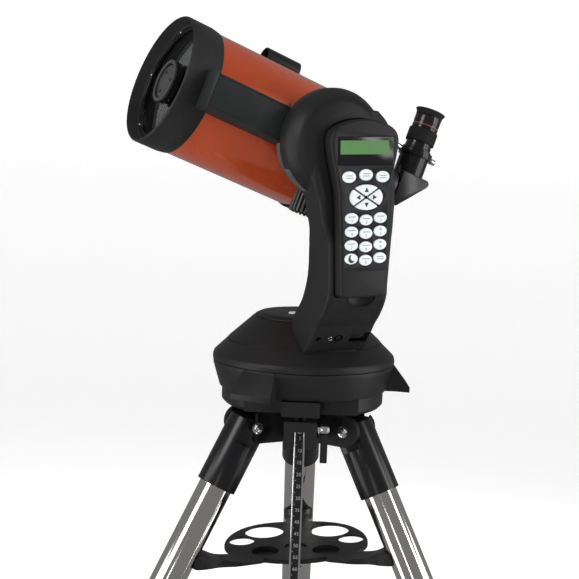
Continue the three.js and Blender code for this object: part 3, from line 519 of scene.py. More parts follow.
def tilt_plate():
    profile = soften([(0, 50), (93, 50), (93, 35), (89, 31), (83, 31), (83, 43), (0, 43)], 1, closed=False)
    plate = turned(profile, 128)
    plate = cut(plate, box(-120, 120, -120, -68, 0, 90), box(-120, 120, HINGE_Y + 4, 120, 0, 90))
    plate = join(plate, box(-21, 21, -98, -60, 33, 49.5), box(-63, 63, -68, -63, 31, 45))
    lugs = []
    for x0 in (-43.4, 36.4):
        lugs.append(box(x0, x0 + 7, HINGE_Y - 7, HINGE_Y + 3, HINGE_Z, 48))
        lugs.append(rod(7, (x0, HINGE_Y - 2, HINGE_Z), (x0 + 7, HINGE_Y - 2, HINGE_Z)))
    plate = cut(join(plate, *lugs), box(-36.4, 36.4, HINGE_Y - 30, HINGE_Y + 20, 0, HINGE_Z + 7))
    eyes = []
    for x0, x1 in ((-6.5, -2.4), (2.4, 6.5)):
        eyes.append(box(x0, x1, BAR_Y - 4, BAR_Y + 4, 24, 46))
        eyes.append(rod(4, (x0, BAR_Y, 24), (x1, BAR_Y, 24)))
    return bevelled(join(plate, *eyes), 0.6)


show("top_plate", tilt_plate(), TRIPOD, "plate", SATIN, ["tilt_plate"])


def latitude_bar():
    low = box(-6, 6, BAR_Y - 3, BAR_Y + 3, -205, 18)
    slot = box(-4.2, 4.2, BAR_Y - 5, BAR_Y - 2.4, -210, 17)
    neck = box(-2, 2, BAR_Y - 3, BAR_Y + 3, 14, 24)
    return bevelled(join(cut(low, slot), neck, rod(3.6, (-2, BAR_Y, 24), (2, BAR_Y, 24))), 0.3)


def bar_numbers():
    marks = []
    for i in range(16):
        z = 8 - 13.4 * i
        marks.append(shifted(lettering(str(5 * i + 5), 5.6), 0.6, BAR_Y - 2.62, z))
        marks.append(box(-3.9, -2.4, BAR_Y - 2.68, BAR_Y - 2.5, z - 6.9, z - 6.4))
    return gathered(*marks)


show("scale_bar", latitude_bar(), TRIPOD, "latitude_bar", CHROME, ["latitude_bar"])
show("scale_face", box(-4.1, 4.1, BAR_Y - 2.6, BAR_Y - 2.3, -204.6, 16.8), TRIPOD, "latitude_bar", GLOSS)
show("scale_numbers", bar_numbers(), TRIPOD, "latitude_bar", PALE_PRINT)


def clamp_lever():
    outline = soften([(22.8, CLAMP_Z - 37), (30.8, CLAMP_Z - 37), (30.8, CLAMP_Z - 5), (22.8, CLAMP_Z - 5)],
                     1.2)
    arm = upright(outline, BAR_Y - 4, BAR_Y + 4)
    return bevelled(arm, 0.8)


def clamp_bolt():
    shaft = rod(4, (16, BAR_Y, CLAMP_Z), (32, BAR_Y, CLAMP_Z), 40, 0.5)
    hub = rod(5.6, (22.6, BAR_Y, CLAMP_Z), (30.8, BAR_Y, CLAMP_Z), 40, 0.6)
    return gathered(shaft, hub, rod(6.2, (20.4, BAR_Y, CLAMP_Z), (21.6, BAR_Y, CLAMP_Z), 6, 0.2))


show("lever_handle", clamp_lever(), TRIPOD, "clamp_lever", SATIN, ["clamp_lever"])
show("lever_bolt", clamp_bolt(), TRIPOD, "clamp_lever", CHROME)


def tray():
    thick = 3.4
    right = [(0, -45), (20, -43), (46, -34), (66, -24), (80, -12), (85, 4), (85, 22), (80, 46), (66, 70),
             (46, 84),
             (20, 90)]
    outline = right + [(-x, y) for x, y in reversed(right[1:])]
    plan = [(50, -22), (84, -15), (106, -13), (122, -18), (140, -18), (140, 18), (122, 18), (106, 13),
            (84, 15),
            (50, 22)]
    front_arm = [(50, 0), (84, 0), (140, 8), (140, 20), (118, 20), (100, 10), (72, thick), (50, thick)]
    rear_arm = [(50, 0), (110, 0), (116, -3), (140, -3), (140, 6), (110, 6), (104, thick), (50, thick)]
    arms = []
    for leg, azimuth in LEG_AZIMUTHS.items():
        side = upright(soften(rear_arm if leg == "rear" else front_arm, 6), -30, 30)
        arms.append(spun(common(prism(soften(plan, 8), -10, 40), side), azimuth))
    edge = [(-78, -11), (-66, -23), (-46, -33), (-20, -42), (0, -44), (20, -42), (46, -33), (66, -23),
            (78, -11),
            (55.3, 6.4), (-55.3, 6.4)]
    body = join(prism(soften(outline, 14), 0, thick), prism(soften(edge, 10), -2.5, 1), *arms)
    holes = [prism(ellipse(6, 6), -5, 10), disc(13, 1.6, 12, 64)]
    for side in (-1, 1):
        holes.append(prism(ellipse(24, 24, side * 39.5, 56, 72), -5, 10))
        holes.append(prism(ellipse(15.6, 15.6, side * 65, 24, 64), -5, 10))
        holes.append(prism(ellipse(16, 16, side * 35.5, -13.5, 64), -1.5, 10))
    body = cut(body, *holes)
    gusset = spun(upright([(88, thick - 1), (126, thick - 1), (126, 18)], -2, 2), 90)
    body = join(body, gusset)
    tilt = Matrix.Rotation(math.radians(2), 4, "X") @ Matrix.Rotation(math.radians(-4), 4, "Y")
    body = moved(body, Matrix.Translation((0, 0, -145.5)) @ tilt)
    legs = []
    for azimuth in LEG_AZIMUTHS.values():
        slope = Matrix.Translation((PIVOT_RADIUS, 0, PIVOT_Z)) @ Matrix.Rotation(-LEG_SPLAY, 4, "Y")
        legs.append(spun(moved(disc(TUBE_R + 0.6, -260, -60, 64), slope), azimuth))
        outer = Matrix.Translation((PIVOT_RADIUS - 9, 0, PIVOT_Z)) @ Matrix.Rotation(-LEG_SPLAY, 4, "Y")
        legs.append(spun(moved(box(0, 90, -60, 60, -260, -60), outer), azimuth))
    return bevelled(cut(body, *legs), 0.5)


show("tray_plate", tray(), TRIPOD, "tray", SATIN, ["accessory_tray"])


# ---- the arm's column: heights with its left, right, inner and outer faces ---------------------

COLUMN = [
    (97, -43, 30, -46, -73), (103, -43, 30, -46, -82.5), (120, -43, 30, -46, -97),
    (136, -43, 30, -46.5, -108),
    (146, -43, 30, -54, -117), (158, -42.5, 30, -64, -125), (170, -42, 30, -70, -130),
    (186, -42, 30, -75.5, -131),
    (206, -43, 31, -79, -131), (228, -44.6, 32, -81, -131), (243, -51, 33, -89.5, -131),
    (256, -54.5, 33.5, -92, -131), (270, -57.5, 34, -93, -131), (286, -63, 34, -93, -130),
    (302, -66, 33, -93, -129), (330, -68, 30, -93, -128), (352, -62, 24, -94, -127),
    (366, -50, 12, -95, -125),
]
BOSS_R = 58.5
SEAM_Y = -98
COVER_BOTTOM = 137
SKIN = 3.5


def smooth_levels(levels, steps):
    """Catmull-Rom levels between the given ones."""
    out = []
    for k in range(len(levels) - 1):
        p0, p1, p2, p3 = (levels[min(max(k + d, 0), len(levels) - 1)] for d in (-1, 0, 1, 2))
        for i in range(steps):
            t = i / steps
            out.append([0.5 * (2 * b + (c - a) * t + (2 * a - 5 * b + 4 * c - d) * t * t
                               + (3 * b - a - 3 * c + d) * t ** 3) for a, b, c, d in zip(p0, p1, p2, p3)])
    return out + [list(levels[-1])]


def column(inset, steps):
    levels = []
    for z, left, right, inner, outer in COLUMN:
        crease = 4 if inner > -88 else max(1, inner - SEAM_Y - 2)
        levels.append((z, left, right, inner, outer, crease, 3.5 if crease > 2 else 1.5))
    levels = smooth_levels(levels, steps)
    rings = []
    for i, (z, left, right, inner, outer, depth, turn_in) in enumerate(levels):
        z += inset if i == 0 else -inset if i == len(levels) - 1 else 0
        x0, x1, y0, y1 = left + inset, right - inset, outer + inset, inner - inset
        crease = y1 - depth
        outline = [(x0 + turn_in, y1), (x0, crease), (x0, y0 + 3), (x0 + 3, y0), (x1 - 3, y0), (x1, y0 + 3),
                   (x1, crease), (x1 - turn_in, y1)]
        rings.append([(x, y, z) for x, y in outline])
    return skin(rings)


# ---- base and turntable --------------------------------------------------------------------

BASE_R = 104.6
BASE_TOP = 81
BASE_BOTTOM = 50.3
LID_R = 57.5


def base_lower():
    bowl = spindle([(0, BASE_TOP), (BASE_R - 0.6, BASE_TOP), (BASE_R - 0.6, BASE_TOP - 4),
                    (96, BASE_BOTTOM),
                          (0, BASE_BOTTOM)], 1.2, 160)
    wedge_side = [(70, BASE_TOP - 4), (BASE_R - 1.5, BASE_TOP - 1), (121.5, BASE_BOTTOM + 6),
                  (121.5, BASE_BOTTOM),
                  (70, BASE_BOTTOM)]
    trim = [(60, -19), (BASE_R, -20), (122.5, -25), (122.5, 25), (BASE_R, 20), (60, 19)]
    feet = [spun(common(upright(wedge_side, -25, 25), prism(trim, 0, 100)),
                 azimuth + math.degrees(TRIPOD_TURN))
            for azimuth in (3, 123, 243)]
    return bevelled(join(bowl, *feet, disc(18, BASE_TOP - 10, 86, 48)), 0.9)


def turntable():
    profile = soften([(0, 137), (LID_R + 1.5, 131), (87.5, 105.1), (88.3, 103.7), (BASE_R - 1.2, 89),
                      (BASE_R, 85.5), (BASE_R, 81.4), (0, 81.4)], 0.7, closed=False)
    shell = turned(profile, 192)
    groove = ring(86.8, 90, 103.9, 104.8, 160)
    rebate = cut(disc(LID_R + 0.3, 130.7, 160, 128), box(-80, 80, -80, -46, 90, 160))
    hollow = turned([(0, 127.5), (LID_R - 3, 127.5), (84.5, 101.5), (BASE_R - 5, 88), (BASE_R - 5, 76),
                     (0, 76)])
    inside = cut(hollow, box(-47, 34, -92, -42, 92.5, 150))
    return bevelled(cut(shell, rebate, inside, column(-0.3, 5), groove), 0.35)


def lid():
    profile = soften([(0, 137.4), (30, 137), (LID_R - 6, 135.4), (LID_R, 132.5), (LID_R, 131), (0, 131)],
                     0.8,
                     closed=False)
    body = turned(profile, 160)
    return bevelled(cut(body, box(-80, 80, -80, -45.4, 100, 160),
                        shifted(disc(6.2, 135, 141, 40), -22, -13)), 0.4)


show("base_casting", base_lower(), MOUNT, "plate", SATIN, ["base_lower"])
show("turntable_shell", turntable(), MOUNT, "table", SATIN, ["turntable"])
show("battery_lid", lid(), MOUNT, "battery_cover", SATIN, ["battery_cover"])
show("level_ring", shifted(ring(4.3, 5.6, 135.2, 138.0, 48, 0.4), -22, -13), MOUNT, "battery_cover", WHITE)
show("level_vial", shifted(spindle([(0, 135.1), (4.2, 135.1), (4.2, 137.2), (0, 137.6)], 0.5, 48),
                           -22, -13), MOUNT, "battery_cover", LEVEL)


# ---- arm ----------------------------------------------------------------------------------

def boss(inset):
    r = BOSS_R - inset
    profile = [(0, 92.8 + inset), (r - 2, 92.8 + inset), (r, 94.8 + inset), (r, 108), (r - 3, 115),
               (r - 8, 123 - inset), (r - 14, 127 - inset), (r - 26, 129.5 - inset), (0, 130.5 - inset)]
    return shifted(spun(spindle(profile, 3, 128), 90, "X"), ALT_X, 0, ALT_Z)


def case_outline(grow):
    right = [(26.5 + grow, -92.5 - grow), (28 + grow, -30), (30.5 + grow, 20), (39 + grow, 58),
             (40.8 + grow, 72),
             (37.4 + 0.8 * grow, 81 + 0.5 * grow), (29 + 0.5 * grow, 87 + 0.9 * grow),
             (14 + 0.2 * grow, 91.5 + grow),
             (0, 93 + grow)]
    return right + [(-x, z) for x, z in reversed(right[:-1])]


def case_curve(grow):
    """The controller's outline with rounded shoulders and foot."""
    return soften(case_outline(grow), 5, steps=4)


def blended(mesh, voxel, rounds):
    """Remeshed and smoothed, so that joined shapes flow into each other."""
    subject = temporary(mesh)
    remesh = subject.modifiers.new("remesh", "REMESH")
    remesh.mode = "VOXEL"
    remesh.voxel_size = voxel
    smooth = subject.modifiers.new("smooth", "SMOOTH")
    smooth.factor = 0.5
    smooth.iterations = rounds
    return settled(subject)


PANEL_LEAN = 36.9


def on_panel(mesh, x=0):
    """Moves a shape made at the origin, facing -y, onto the sloping connector panel."""
    return shifted(spun(mesh, PANEL_LEAN, "X"), x, -97.5, 120.5)


def panel_tool(points, depth):
    return on_panel(upright(points, -6, depth))


def arm_body():
    outside = blended(join(column(0, 5), boss(0)), 1.3, 2)
    pocket = moved(upright(case_curve(1.3), -60, 0.4), CASE_IN_MOUNT)
    half_circle = [(math.sin(a), -math.cos(a)) for a in (math.pi * i / 24 for i in range(25))]
    scoop = moved(spun(turned(half_circle, 48), 90, "X"),
                  Matrix.Translation((-3.2, -131, 169)) @ Matrix.Diagonal((18, 9, 15, 1)))
    inside = common(join(column(SKIN, 1), boss(SKIN)), box(-200, 200, -115 + 0.4 + SKIN, 0, 104, 400))
    shaft = rod(14.5, (ALT_X, -80, ALT_Z), (ALT_X, -100, ALT_Z), 48)
    sockets = [panel_tool(ellipse(3.2, 3.2, -35, 0), 9), panel_tool(ellipse(3, 3, -20.5, 0), 9),
               panel_tool(rounded_box(4, 27, -8, 8, 1.5), 9), panel_tool(ellipse(5.4, 5.4, -10.5, 0), 7)]
    ledge = box(-200, 200, -200, -103, COVER_BOTTOM - 0.7, COVER_BOTTOM + 0.1)
    ledge = cut(ledge, skin([[(x, y, z) for x, y in rounded_box(-41.8, 28.8, -107.4, -40, 4)] for z in (120,
        150)]))
    return cut(outside, pocket, scoop, inside, shaft, ledge, *sockets)


show("arm_shell", arm_body(), MOUNT, "table", SATIN, ["arm_frame", "arm_cover"], sharp=38)
rocker = spun(upright(rounded_box(-13.4, -7.6, -3.2, 3.2, 1.4), -1.6, 2.4), PANEL_LEAN, "X")
show("switch_rocker", bevelled(shifted(rocker, 0, -96.3, 121.4), 0.5), MOUNT, "power_switch", GLOSS,
     ["power_switch"])


jack = gathered(on_panel(rod(1.1, (0, 1, 0), (0, 8.5, 0), 24, 0.3), -20.5),
                on_panel(spun(ring(2.2, 2.9, -0.4, 8.6, 40, 0.2), -90, "X"), -20.5))
show("power_jack", jack, MOUNT, "table", CHROME)
show("socket_insert", on_panel(upright(rounded_box(5.4, 25.6, -5.6, 5.6, 1), 4.6, 8.8)), MOUNT, "table",
     GLOSS)


def boss_wall_lit_painted():
    """A thin skin on the lower part of the boss's side, in a paler and rougher finish. It stops short of
    the upper part, which stays darker: painted light on the lower part and painted shade above.
    """
    skirt = spun(ring(BOSS_R - 3, BOSS_R + 0.35, 95.3, 107.5, 160), 90, "X")
    return common(shifted(skirt, ALT_X, 0, ALT_Z), box(-200, 200, -200, 0, 100, ALT_Z - 28))


# Painted light: the paler skin covers only the lit lower part of the boss, and the upper part is left dark
# as painted shade.
show("boss_wall_lit_painted", boss_wall_lit_painted(), MOUNT, "table", HUB_CRINKLE)


def altitude_hub():
    profile = soften([(0, 76), (51.5, 76), (54, 78.5), (54, 92.5), (0, 92.5)], 1.0, closed=False)
    wheel = spun(turned(profile, 160), 90, "X")
    wheel = join(shifted(wheel, ALT_X, 0, ALT_Z), rod(14, (ALT_X, -107, ALT_Z), (ALT_X, -91.5, ALT_Z), 48))
    channel = moved(bar_section(0.3, -200, 300), MOUNT.inverted() @ TUBE)
    return bevelled(cut(wheel, channel), 0.5)


BAR_DROP = -3.3


def bar_section(grow, s0, s1):
    points = [(BAR_DROP - 22 - grow, -73), (BAR_DROP - 19 - grow, -88 - grow),
              (BAR_DROP + 19 + grow, -88 - grow),
              (BAR_DROP + 22 + grow, -73)]
    return prism(points, s0, s1)


show("saddle_disc", altitude_hub(), MOUNT, "head", HUB_CRINKLE, ["altitude_hub"])


# ---- optical tube ---------------------------------------------------------------------------

OTA_R = 69.6
CELL_R = 71.8
FRONT_S = 200
REAR_S = -79
SECONDARY_S = 193.7
DIAGONAL_S = -130


def front_cell():
    return turned(soften([
        (CELL_R - 1.6, FRONT_S), (CELL_R, FRONT_S - 1.6), (CELL_R, 171), (OTA_R + 0.9, 163),
        (OTA_R + 0.3, 163), (OTA_R + 0.3, 171.4), (64, 171.4), (64, 179.4), (67, 179.4), (67, 184.6),
        (63.5, 184.6),
        (63.5, 187.5), (67.6, 187.5), (69.4, FRONT_S)], 0.8), 192)


def around(make, radius, count, first=0.0):
    """Copies of a shape set round the tube's axis."""
    out = []
    for i in range(count):
        a = first + 360 * i / count
        out.append(spun(shifted(make(), radius), a))
    return gathered(*out)


def screw(radius, s):
    head = spindle([(0, s), (radius, s), (radius, s + 0.7), (0, s + 1.3)], 0.4, 24)
    return cut(head, box(-radius * 0.7, radius * 0.7, -0.25, 0.25, s + 0.8, s + 2))


show("front_ring", front_cell(), TUBE, "ota", CRINKLE, ["front_cell"])
show("retaining_ring", ring(60.6, 65.0, 184.9, 187.9, 160, 0.5), TUBE, "ota", GLOSS)
show("ring_screws", around(lambda: screw(1.6, 187.9), 62.8, 6, 20), TUBE, "ota", CHROME)
show("tube_shell", turned(soften([(OTA_R - 0.9, -3.5), (OTA_R, -3.5), (OTA_R, 171), (OTA_R - 0.9, 171)],
                                 0.3),
                          192), TUBE, "ota", ORANGE, ["optical_tube"])
show("tube_lining", turned([(OTA_R - 1.9, -3.4), (OTA_R - 1.0, -3.4), (OTA_R - 1.0, 170.8),
                            (OTA_R - 1.9, 170.8)],
                           128), TUBE, "ota", INNER_BLACK)
show("corrector", turned([(16, 180), (66.6, 180), (66.6, 184), (16, 184)], 128), TUBE, "ota", GLASS,
     ["corrector_plate"])


def secondary():
    return spindle([(0, 167), (20, 167), (23.8, 179.2), (15.6, 179.2), (15.6, 184.8), (23.8, 184.8),
                          (23.8, SECONDARY_S), (19.6, SECONDARY_S), (19.2, SECONDARY_S - 2.4),
                          (0, SECONDARY_S - 2.4)],
                         0.5, 96)


show("secondary_cell", secondary(), TUBE, "ota", GLOSS, ["secondary_holder"])
show("secondary_ring", ring(19.8, 23.9, 191.2, 194.0, 96, 0.5), TUBE, "ota", RING_GREY)
show("secondary_cap", disc(18.4, 191, 192.2, 96, 0.4), TUBE, "ota", RING_GREY)
show("collimation_screws", around(lambda: screw(2.2, 192.2), 12.5, 3, 35), TUBE, "ota", DARK_METAL)


def primary():
    curve = [(r, -34 + 4 + r * r / 1016) for r in range(21, 64, 3)]
    return turned([(21, -42), (64, -42), (64, -26)] + curve[::-1], 128)


show("primary", primary(), TUBE, "mirror", MIRROR, ["primary_mirror"], sharp=60)
show("baffle", ring(15.5, 17, -85, 62, 64, 0.3), TUBE, "ota", INNER_BLACK, ["baffle_tube"])


def rear_cell():
    profile = [(OTA_R + 0.3, 5), (OTA_R + 1.9, 5), (OTA_R + 1.9, -33), (69.6, -36), (68, -58), (60, -72),
               (48, REAR_S), (17.4, REAR_S), (17.4, -74), (46, -74), (56, -67), (66, -56), (66, -4),
               (OTA_R + 0.3, -4)]
    return turned(soften(profile, 0.7), 160)


show("rear_casting", rear_cell(), TUBE, "ota", CRINKLE, ["rear_cell"])


# The knob that clamps the bar hangs below the saddle disc, between tube and arm. It is drawn
# only here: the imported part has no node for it, so it rides on the head and doesn't turn.
KNOB_R = 16
KNOB_AT = (-68, 18)
KNOB_BOTTOM, KNOB_TOP = -80, -58
KNOB_RIBS = 20


def below_saddle(mesh):
    return shifted(spun(mesh, 90, "Y"), 0, KNOB_AT[0], KNOB_AT[1])


def knob_ribs():
    bars = []
    for i in range(KNOB_RIBS):
        bar = rounded_box(KNOB_R - 3.2, KNOB_R, -1.25, 1.25, 0.5)
        bars.append(spun(prism(bar, KNOB_BOTTOM, KNOB_TOP), 360 * i / KNOB_RIBS))
    return gathered(*bars)


core = join(disc(KNOB_R - 2.4, KNOB_BOTTOM + 1, KNOB_TOP + 1, 64, 1), disc(6, KNOB_TOP - 1, -46, 40))
show("clamp_knob_core", below_saddle(core), TUBE, "head", INNER_BLACK)
# The ribs are paler than the black core: a painted highlight on their crests.
show("clamp_knob_ribs", below_saddle(knob_ribs()), TUBE, "head", RIB_PAINTED_HIGHLIGHT)


def dovetail():
    body = bar_section(0, -52, 179)
    tools = [rod(CELL_R + 0.3, (0, 0, -80), (0, 0, 220), 160)]
    for edge in (-16.6, 16.6):
        tools.append(box(BAR_DROP + edge - 0.4, BAR_DROP + edge + 0.4, -90, -87.4, -60, 172))
    tools.append(box(BAR_DROP - 30, BAR_DROP + 30, -90, -87.4, 171.4, 172.2))
    return bevelled(cut(body, *tools), 0.3)


show("dovetail", dovetail(), TUBE, "ota", BAR_PANEL, ["dovetail_bar"])


def focus_knob():
    grip = spindle([(0, REAR_S - 3), (5, REAR_S - 3), (5, REAR_S - 7), (11.2, REAR_S - 8),
                    (12, REAR_S - 24),
                          (10.5, REAR_S - 26), (0, REAR_S - 26)], 0.8, 96)
    flutes = []
    for i in range(24):
        a = 2 * math.pi * i / 24
        flutes.append(rod(0.7, (12.1 * math.cos(a), 12.1 * math.sin(a), REAR_S - 23.5),
                          (12.1 * math.cos(a), 12.1 * math.sin(a), REAR_S - 9), 8))
    return shifted(cut(grip, gathered(*flutes)), -34, 30)


def visual_back():
    return turned(soften([(17.3, REAR_S - 0.3), (25, REAR_S - 0.3), (25, REAR_S - 10), (20, REAR_S - 11),
                          (20, REAR_S - 31), (16.2, REAR_S - 31), (16.2, REAR_S - 7), (17.3, REAR_S - 6.4)],
                          0.6), 96)


def thumbscrew():
    """Knurled screw pointing away along z, its tip at the origin."""
    head = spindle([(0, 3), (3.6, 3), (3.6, 9), (0, 9)], 0.5, 20)
    return gathered(disc(1.7, -2, 3.5, 20), head)


show("focus_grip", focus_knob(), TUBE, "focus_knob", RUBBER, ["focus_knob"])
show("visual_back_ring", visual_back(), TUBE, "ota", DARK_METAL, ["visual_back"])
show("visual_back_screw", shifted(spun(thumbscrew(), 90, "Y"), 20, 0, REAR_S - 25), TUBE, "ota", CHROME)


def diagonal():
    housing = upright([(21, -112), (21, -148.6), (17.5, -151.5), (12.7, -149.5), (-21, -119), (-21, -112)],
                      -19, 19)
    nose = rod(15.8, (0, 0, -113), (0, 0, -96), 64)
    holder = rod(17.5, (18, 0, DIAGONAL_S), (47, 0, DIAGONAL_S), 96)
    collar = rod(20, (43.4, 0, DIAGONAL_S), (51, 0, DIAGONAL_S), 96, 0.6)
    bores = [rod(11, (0, 0, -90), (0, 0, DIAGONAL_S + 6), 48),
             rod(16.2, (20, 0, DIAGONAL_S), (60, 0, DIAGONAL_S), 64),
             rod(11, (6, 0, DIAGONAL_S), (30, 0, DIAGONAL_S), 48)]
    return cut(join(bevelled(housing, 1.2, 3), nose, holder, collar), *bores)


def holder_screws():
    out = []
    for side in (-1, 1):
        piece = spun(thumbscrew(), 0 if side > 0 else 180, "Y")
        out.append(shifted(piece, 47.2, 0, DIAGONAL_S + side * 19.6))
    return gathered(*out)


def eyepiece_at(profile):
    return shifted(spun(turned(profile), 90, "Y"), 0, 0, DIAGONAL_S)


def eyepiece():
    lines = [(0, 26), (15.8, 26), (15.8, 51.4), (17.4, 51.4), (17.4, 53.2), (15.7, 54), (15.7, 57.4),
             (15.3, 57.8),
             (15.3, 60.8), (15, 61.2), (15, 76.8), (15.7, 77.2), (15.7, 80), (15.4, 80.4), (15.4, 85),
             (15.7, 85.4),
             (15.7, 94), (0, 94)]
    return eyepiece_at(soften(lines, 0.4, closed=False))


def eyepiece_grip():
    band = eyepiece_at(soften([(14.9, 61.4), (17.4, 61.4), (17.4, 76.6), (14.9, 76.6)], 0.5))
    grooves = [eyepiece_at([(17.0, v), (18.5, v), (18.5, v + 0.7), (17.0, v + 0.7)]) for v in
               (63.2, 65.4, 67.6, 69.8, 72, 74.2)]
    return cut(band, gathered(*grooves))


show("diagonal_housing", diagonal(), TUBE, "diagonal", SLEEVE, ["diagonal"])
show("holder_thumbscrews", holder_screws(), TUBE, "diagonal", CHROME)
show("eyepiece_barrel", eyepiece(), TUBE, "eyepiece", GLOSS, ["eyepiece"])
show("eyepiece_grip", eyepiece_grip(), TUBE, "eyepiece", RUBBER)
show("eyepiece_ring", eyepiece_at(soften([(15.3, 81.4), (15.75, 81.4), (15.75, 82.4), (15.3, 82.4)], 0.1)),
     TUBE,
     "eyepiece", RED_RING)
show("eye_guard", eyepiece_at(soften([(11.5, 94.3), (15.9, 94.3), (16, 97), (18, 100.4), (17.6, 101),
                                      (14.6, 101),
                                      (11.8, 98)], 0.6)), TUBE, "eyepiece", RUBBER, ["eye_cup"])


def finder():
    v, y = 76.5, 28
    hood = cut(rod(11.6, (v + 0.6, y, 40), (v + 0.6, y, 84), 96, 0.6),
               rod(10, (v + 0.6, y, 30), (v + 0.6, y, 100), 96))
    rail = box(v - 4, v - 1, y - 8, y + 8, -38, 43)
    lamp = box(v - 3, v + 1, y - 8, y + 8, -38, -8)
    saddle = cut(box(60, v - 2, y - 10, y + 10, -34, -12), rod(72.5, (0, 0, -60), (0, 0, 40), 96))
    return bevelled(join(hood, box(v - 4.5, v - 0.5, y - 10, y + 10, 40, 44), rail, lamp, saddle), 0.4)


show("finder_body", finder(), TUBE, "ota", SATIN, ["red_dot_finder"])
for gear in ("azimuth_gear", "azimuth_worm", "altitude_gear", "altitude_worm"):
    node = frame["nodes"][gear]
    node.data.materials.clear()
    node.data.materials.append(BRASS)


# ---- hand controller ------------------------------------------------------------------------

DEPTH = 30
PAD_X, PAD_Z, PAD_RX, PAD_RZ = 0.8, 12.3, 20, 13.7
KEYS = {}
for key_name, x, z in (("key_menu", -20, 33.4), ("key_enter", 0, 35.5), ("key_back", 20, 33.4)):
    KEYS[key_name] = (x + 0.2, z, 7.9, 5.9)
NUMBER_KEYS = ["key_%d" % digit for digit in range(1, 10)] + ["key_lamp", "key_0", "key_help"]
for index, key_name in enumerate(NUMBER_KEYS):
    across = index % 3 - 1
    KEYS[key_name] = (across * 17.2 + 1, -9.2 - 14 * (index // 3) - (2 if across == 0 else 0), 7.6, 5.6)


def controller_case():
    rings = []
    for inset, y in ((0, 0), (0, -DEPTH + 2.4), (0.3, -DEPTH + 1.3), (0.9, -DEPTH + 0.5),
                     (1.6, -DEPTH + 0.1),
                     (2.2, -DEPTH)):
        rings.append([(x, y, z) for x, z in case_curve(-inset)])
    wells = []
    for x, z, rx, rz in KEYS.values():
        wells.append(upright(ellipse(rx + 0.35, rz + 0.35, x, z, 48), -DEPTH - 8, -25.6))
    wells.append(upright(ellipse(PAD_RX + 0.35, PAD_RZ + 0.35, PAD_X, PAD_Z, 72), -DEPTH - 8, -25.6))
    wells.append(box(-33.3, 33.8, -DEPTH - 8, -DEPTH + 2, 45.2, 74.8))
    lines = [box(-25.6, 25.6, -DEPTH - 8, -DEPTH + 0.5, -64.4, -63.8)]
    return bevelled(cut(skin(rings), *wells, *lines), 0.25, 2, 40)


show("controller_shell", controller_case(), CASE, "controller", SATIN, ["controller_case"])
window = bevelled(upright(rounded_box(-33, 33.5, 45.5, 74.5, 0.8), -DEPTH - 0.3, -DEPTH + 1.7), 0.3)
show("display_window", window, CASE, "controller", GLOSS, ["controller_display"])
show("display_screen", upright(rounded_box(-30.2, 27.6, 56.6, 70.8, 0.6), -DEPTH - 0.42, -DEPTH), CASE,
     "controller",
     LCD)


def domed(points, centre):
    """A key with a rounded top edge and a slightly crowned face."""
    rings = []
    for scale, y in ((1, -27), (1, -31.0), (0.97, -31.35), (0.88, -31.5), (0.5, -31.62), (0.02, -31.66)):
        rings.append([(centre[0] + (x - centre[0]) * scale, y, centre[1] + (z - centre[1]) * scale)
                      for x, z in points])
    return skin(rings)


def pad_key(degrees):
    """One quarter of the oval pad, between two diagonal gaps."""
    angle = math.radians(degrees)
    half = math.radians(58.5 if degrees % 180 else 31.5)
    apex = 1 / math.sin(half)
    outline = []
    for i in range(25):
        a = angle - half + 2 * half * i / 24
        reach = 1 / math.hypot(math.cos(a) / (PAD_RX - 0.5), math.sin(a) / (PAD_RZ - 0.5))
        outline.append((reach * math.cos(a), reach * math.sin(a)))
    gap = (apex * math.cos(angle), apex * math.sin(angle))
    trimmed = []
    for x, z in outline:
        along = x * math.cos(angle) + z * math.sin(angle)
        side = -x * math.sin(angle) + z * math.cos(angle)
        limit = max(0, (along - apex) * math.tan(half))
        side = max(-limit, min(limit, side))
        trimmed.append((along * math.cos(angle) - side * math.sin(angle),
                        along * math.sin(angle) + side * math.cos(angle)))
    points = [gap] + trimmed
    points = [(PAD_X + x, PAD_Z + z) for x, z in points]
    middle = (PAD_X + 9.5 * math.cos(angle), PAD_Z + 7.5 * math.sin(angle))
    return bevelled(upright(soften(points, 1.0, steps=2), -27, -31.5), 0.35), middle


for key_name, (x, z, rx, rz) in KEYS.items():
    show(key_name + "_cap", domed(ellipse(rx, rz, x, z, 48), (x, z)), CASE, key_name, KEY,
         [key_name])
    marks = []
    if key_name[4:].isdigit():
        marks.append(shifted(lettering(key_name[4:], 4.4), x, -31.66, z - 2.4))
        marks.append(upright(rounded_box(x - 4.4, x + 4.4, z + 1.2, z + 2.0, 0.3, 2), -31.67, -31.5))
    elif key_name == "key_lamp":
        moon = cut(upright(ellipse(3.9, 4.3, x, z), -31.7, -31.4),
                   upright(ellipse(3.3, 3.6, x + 2.1, z + 1.5),
                                                                           -31.9, -31.2))
        marks.append(moon)
    else:
        for rise in (-1.1, 1.3):
            marks.append(upright(rounded_box(x - 4.2, x + 4.2, z + rise - 0.4, z + rise + 0.4, 0.3, 2),
                                 -31.67, -31.5))
    if key_name in ("key_6", "key_9"):
        rise = 1 if key_name == "key_6" else -1
        marks[1] = upright([(x - 2.2, z + 2.4 - rise), (x + 2.2, z + 2.4 - rise), (x, z + 2.4 + rise)],
                           -31.67, -31.4)
    show(key_name + "_mark", gathered(*marks), CASE, key_name,
         KEY_PRINT if key_name == "key_lamp" else PALE_PRINT)
for key_name, degrees in (("key_right", 0), ("key_up", 90), ("key_left", 180), ("key_down", 270)):
    cap, (x, z) = pad_key(degrees)
    show(key_name + "_cap", cap, CASE, key_name, KEY, [key_name])
    a = math.radians(degrees)
    tip = [(2.8 * math.cos(a), 2.8 * math.sin(a))]
    for turn in (2.25, -2.25):
        tip.append((3.3 * math.cos(a + turn), 3.3 * math.sin(a + turn)))
    arrow = upright([(x + dx, z + dz) for dx, dz in tip], -31.62, -31.4)
    show(key_name + "_arrow", arrow, CASE, key_name, KEY_PRINT)


# ---- studio ---------------------------------------------------------------------------------

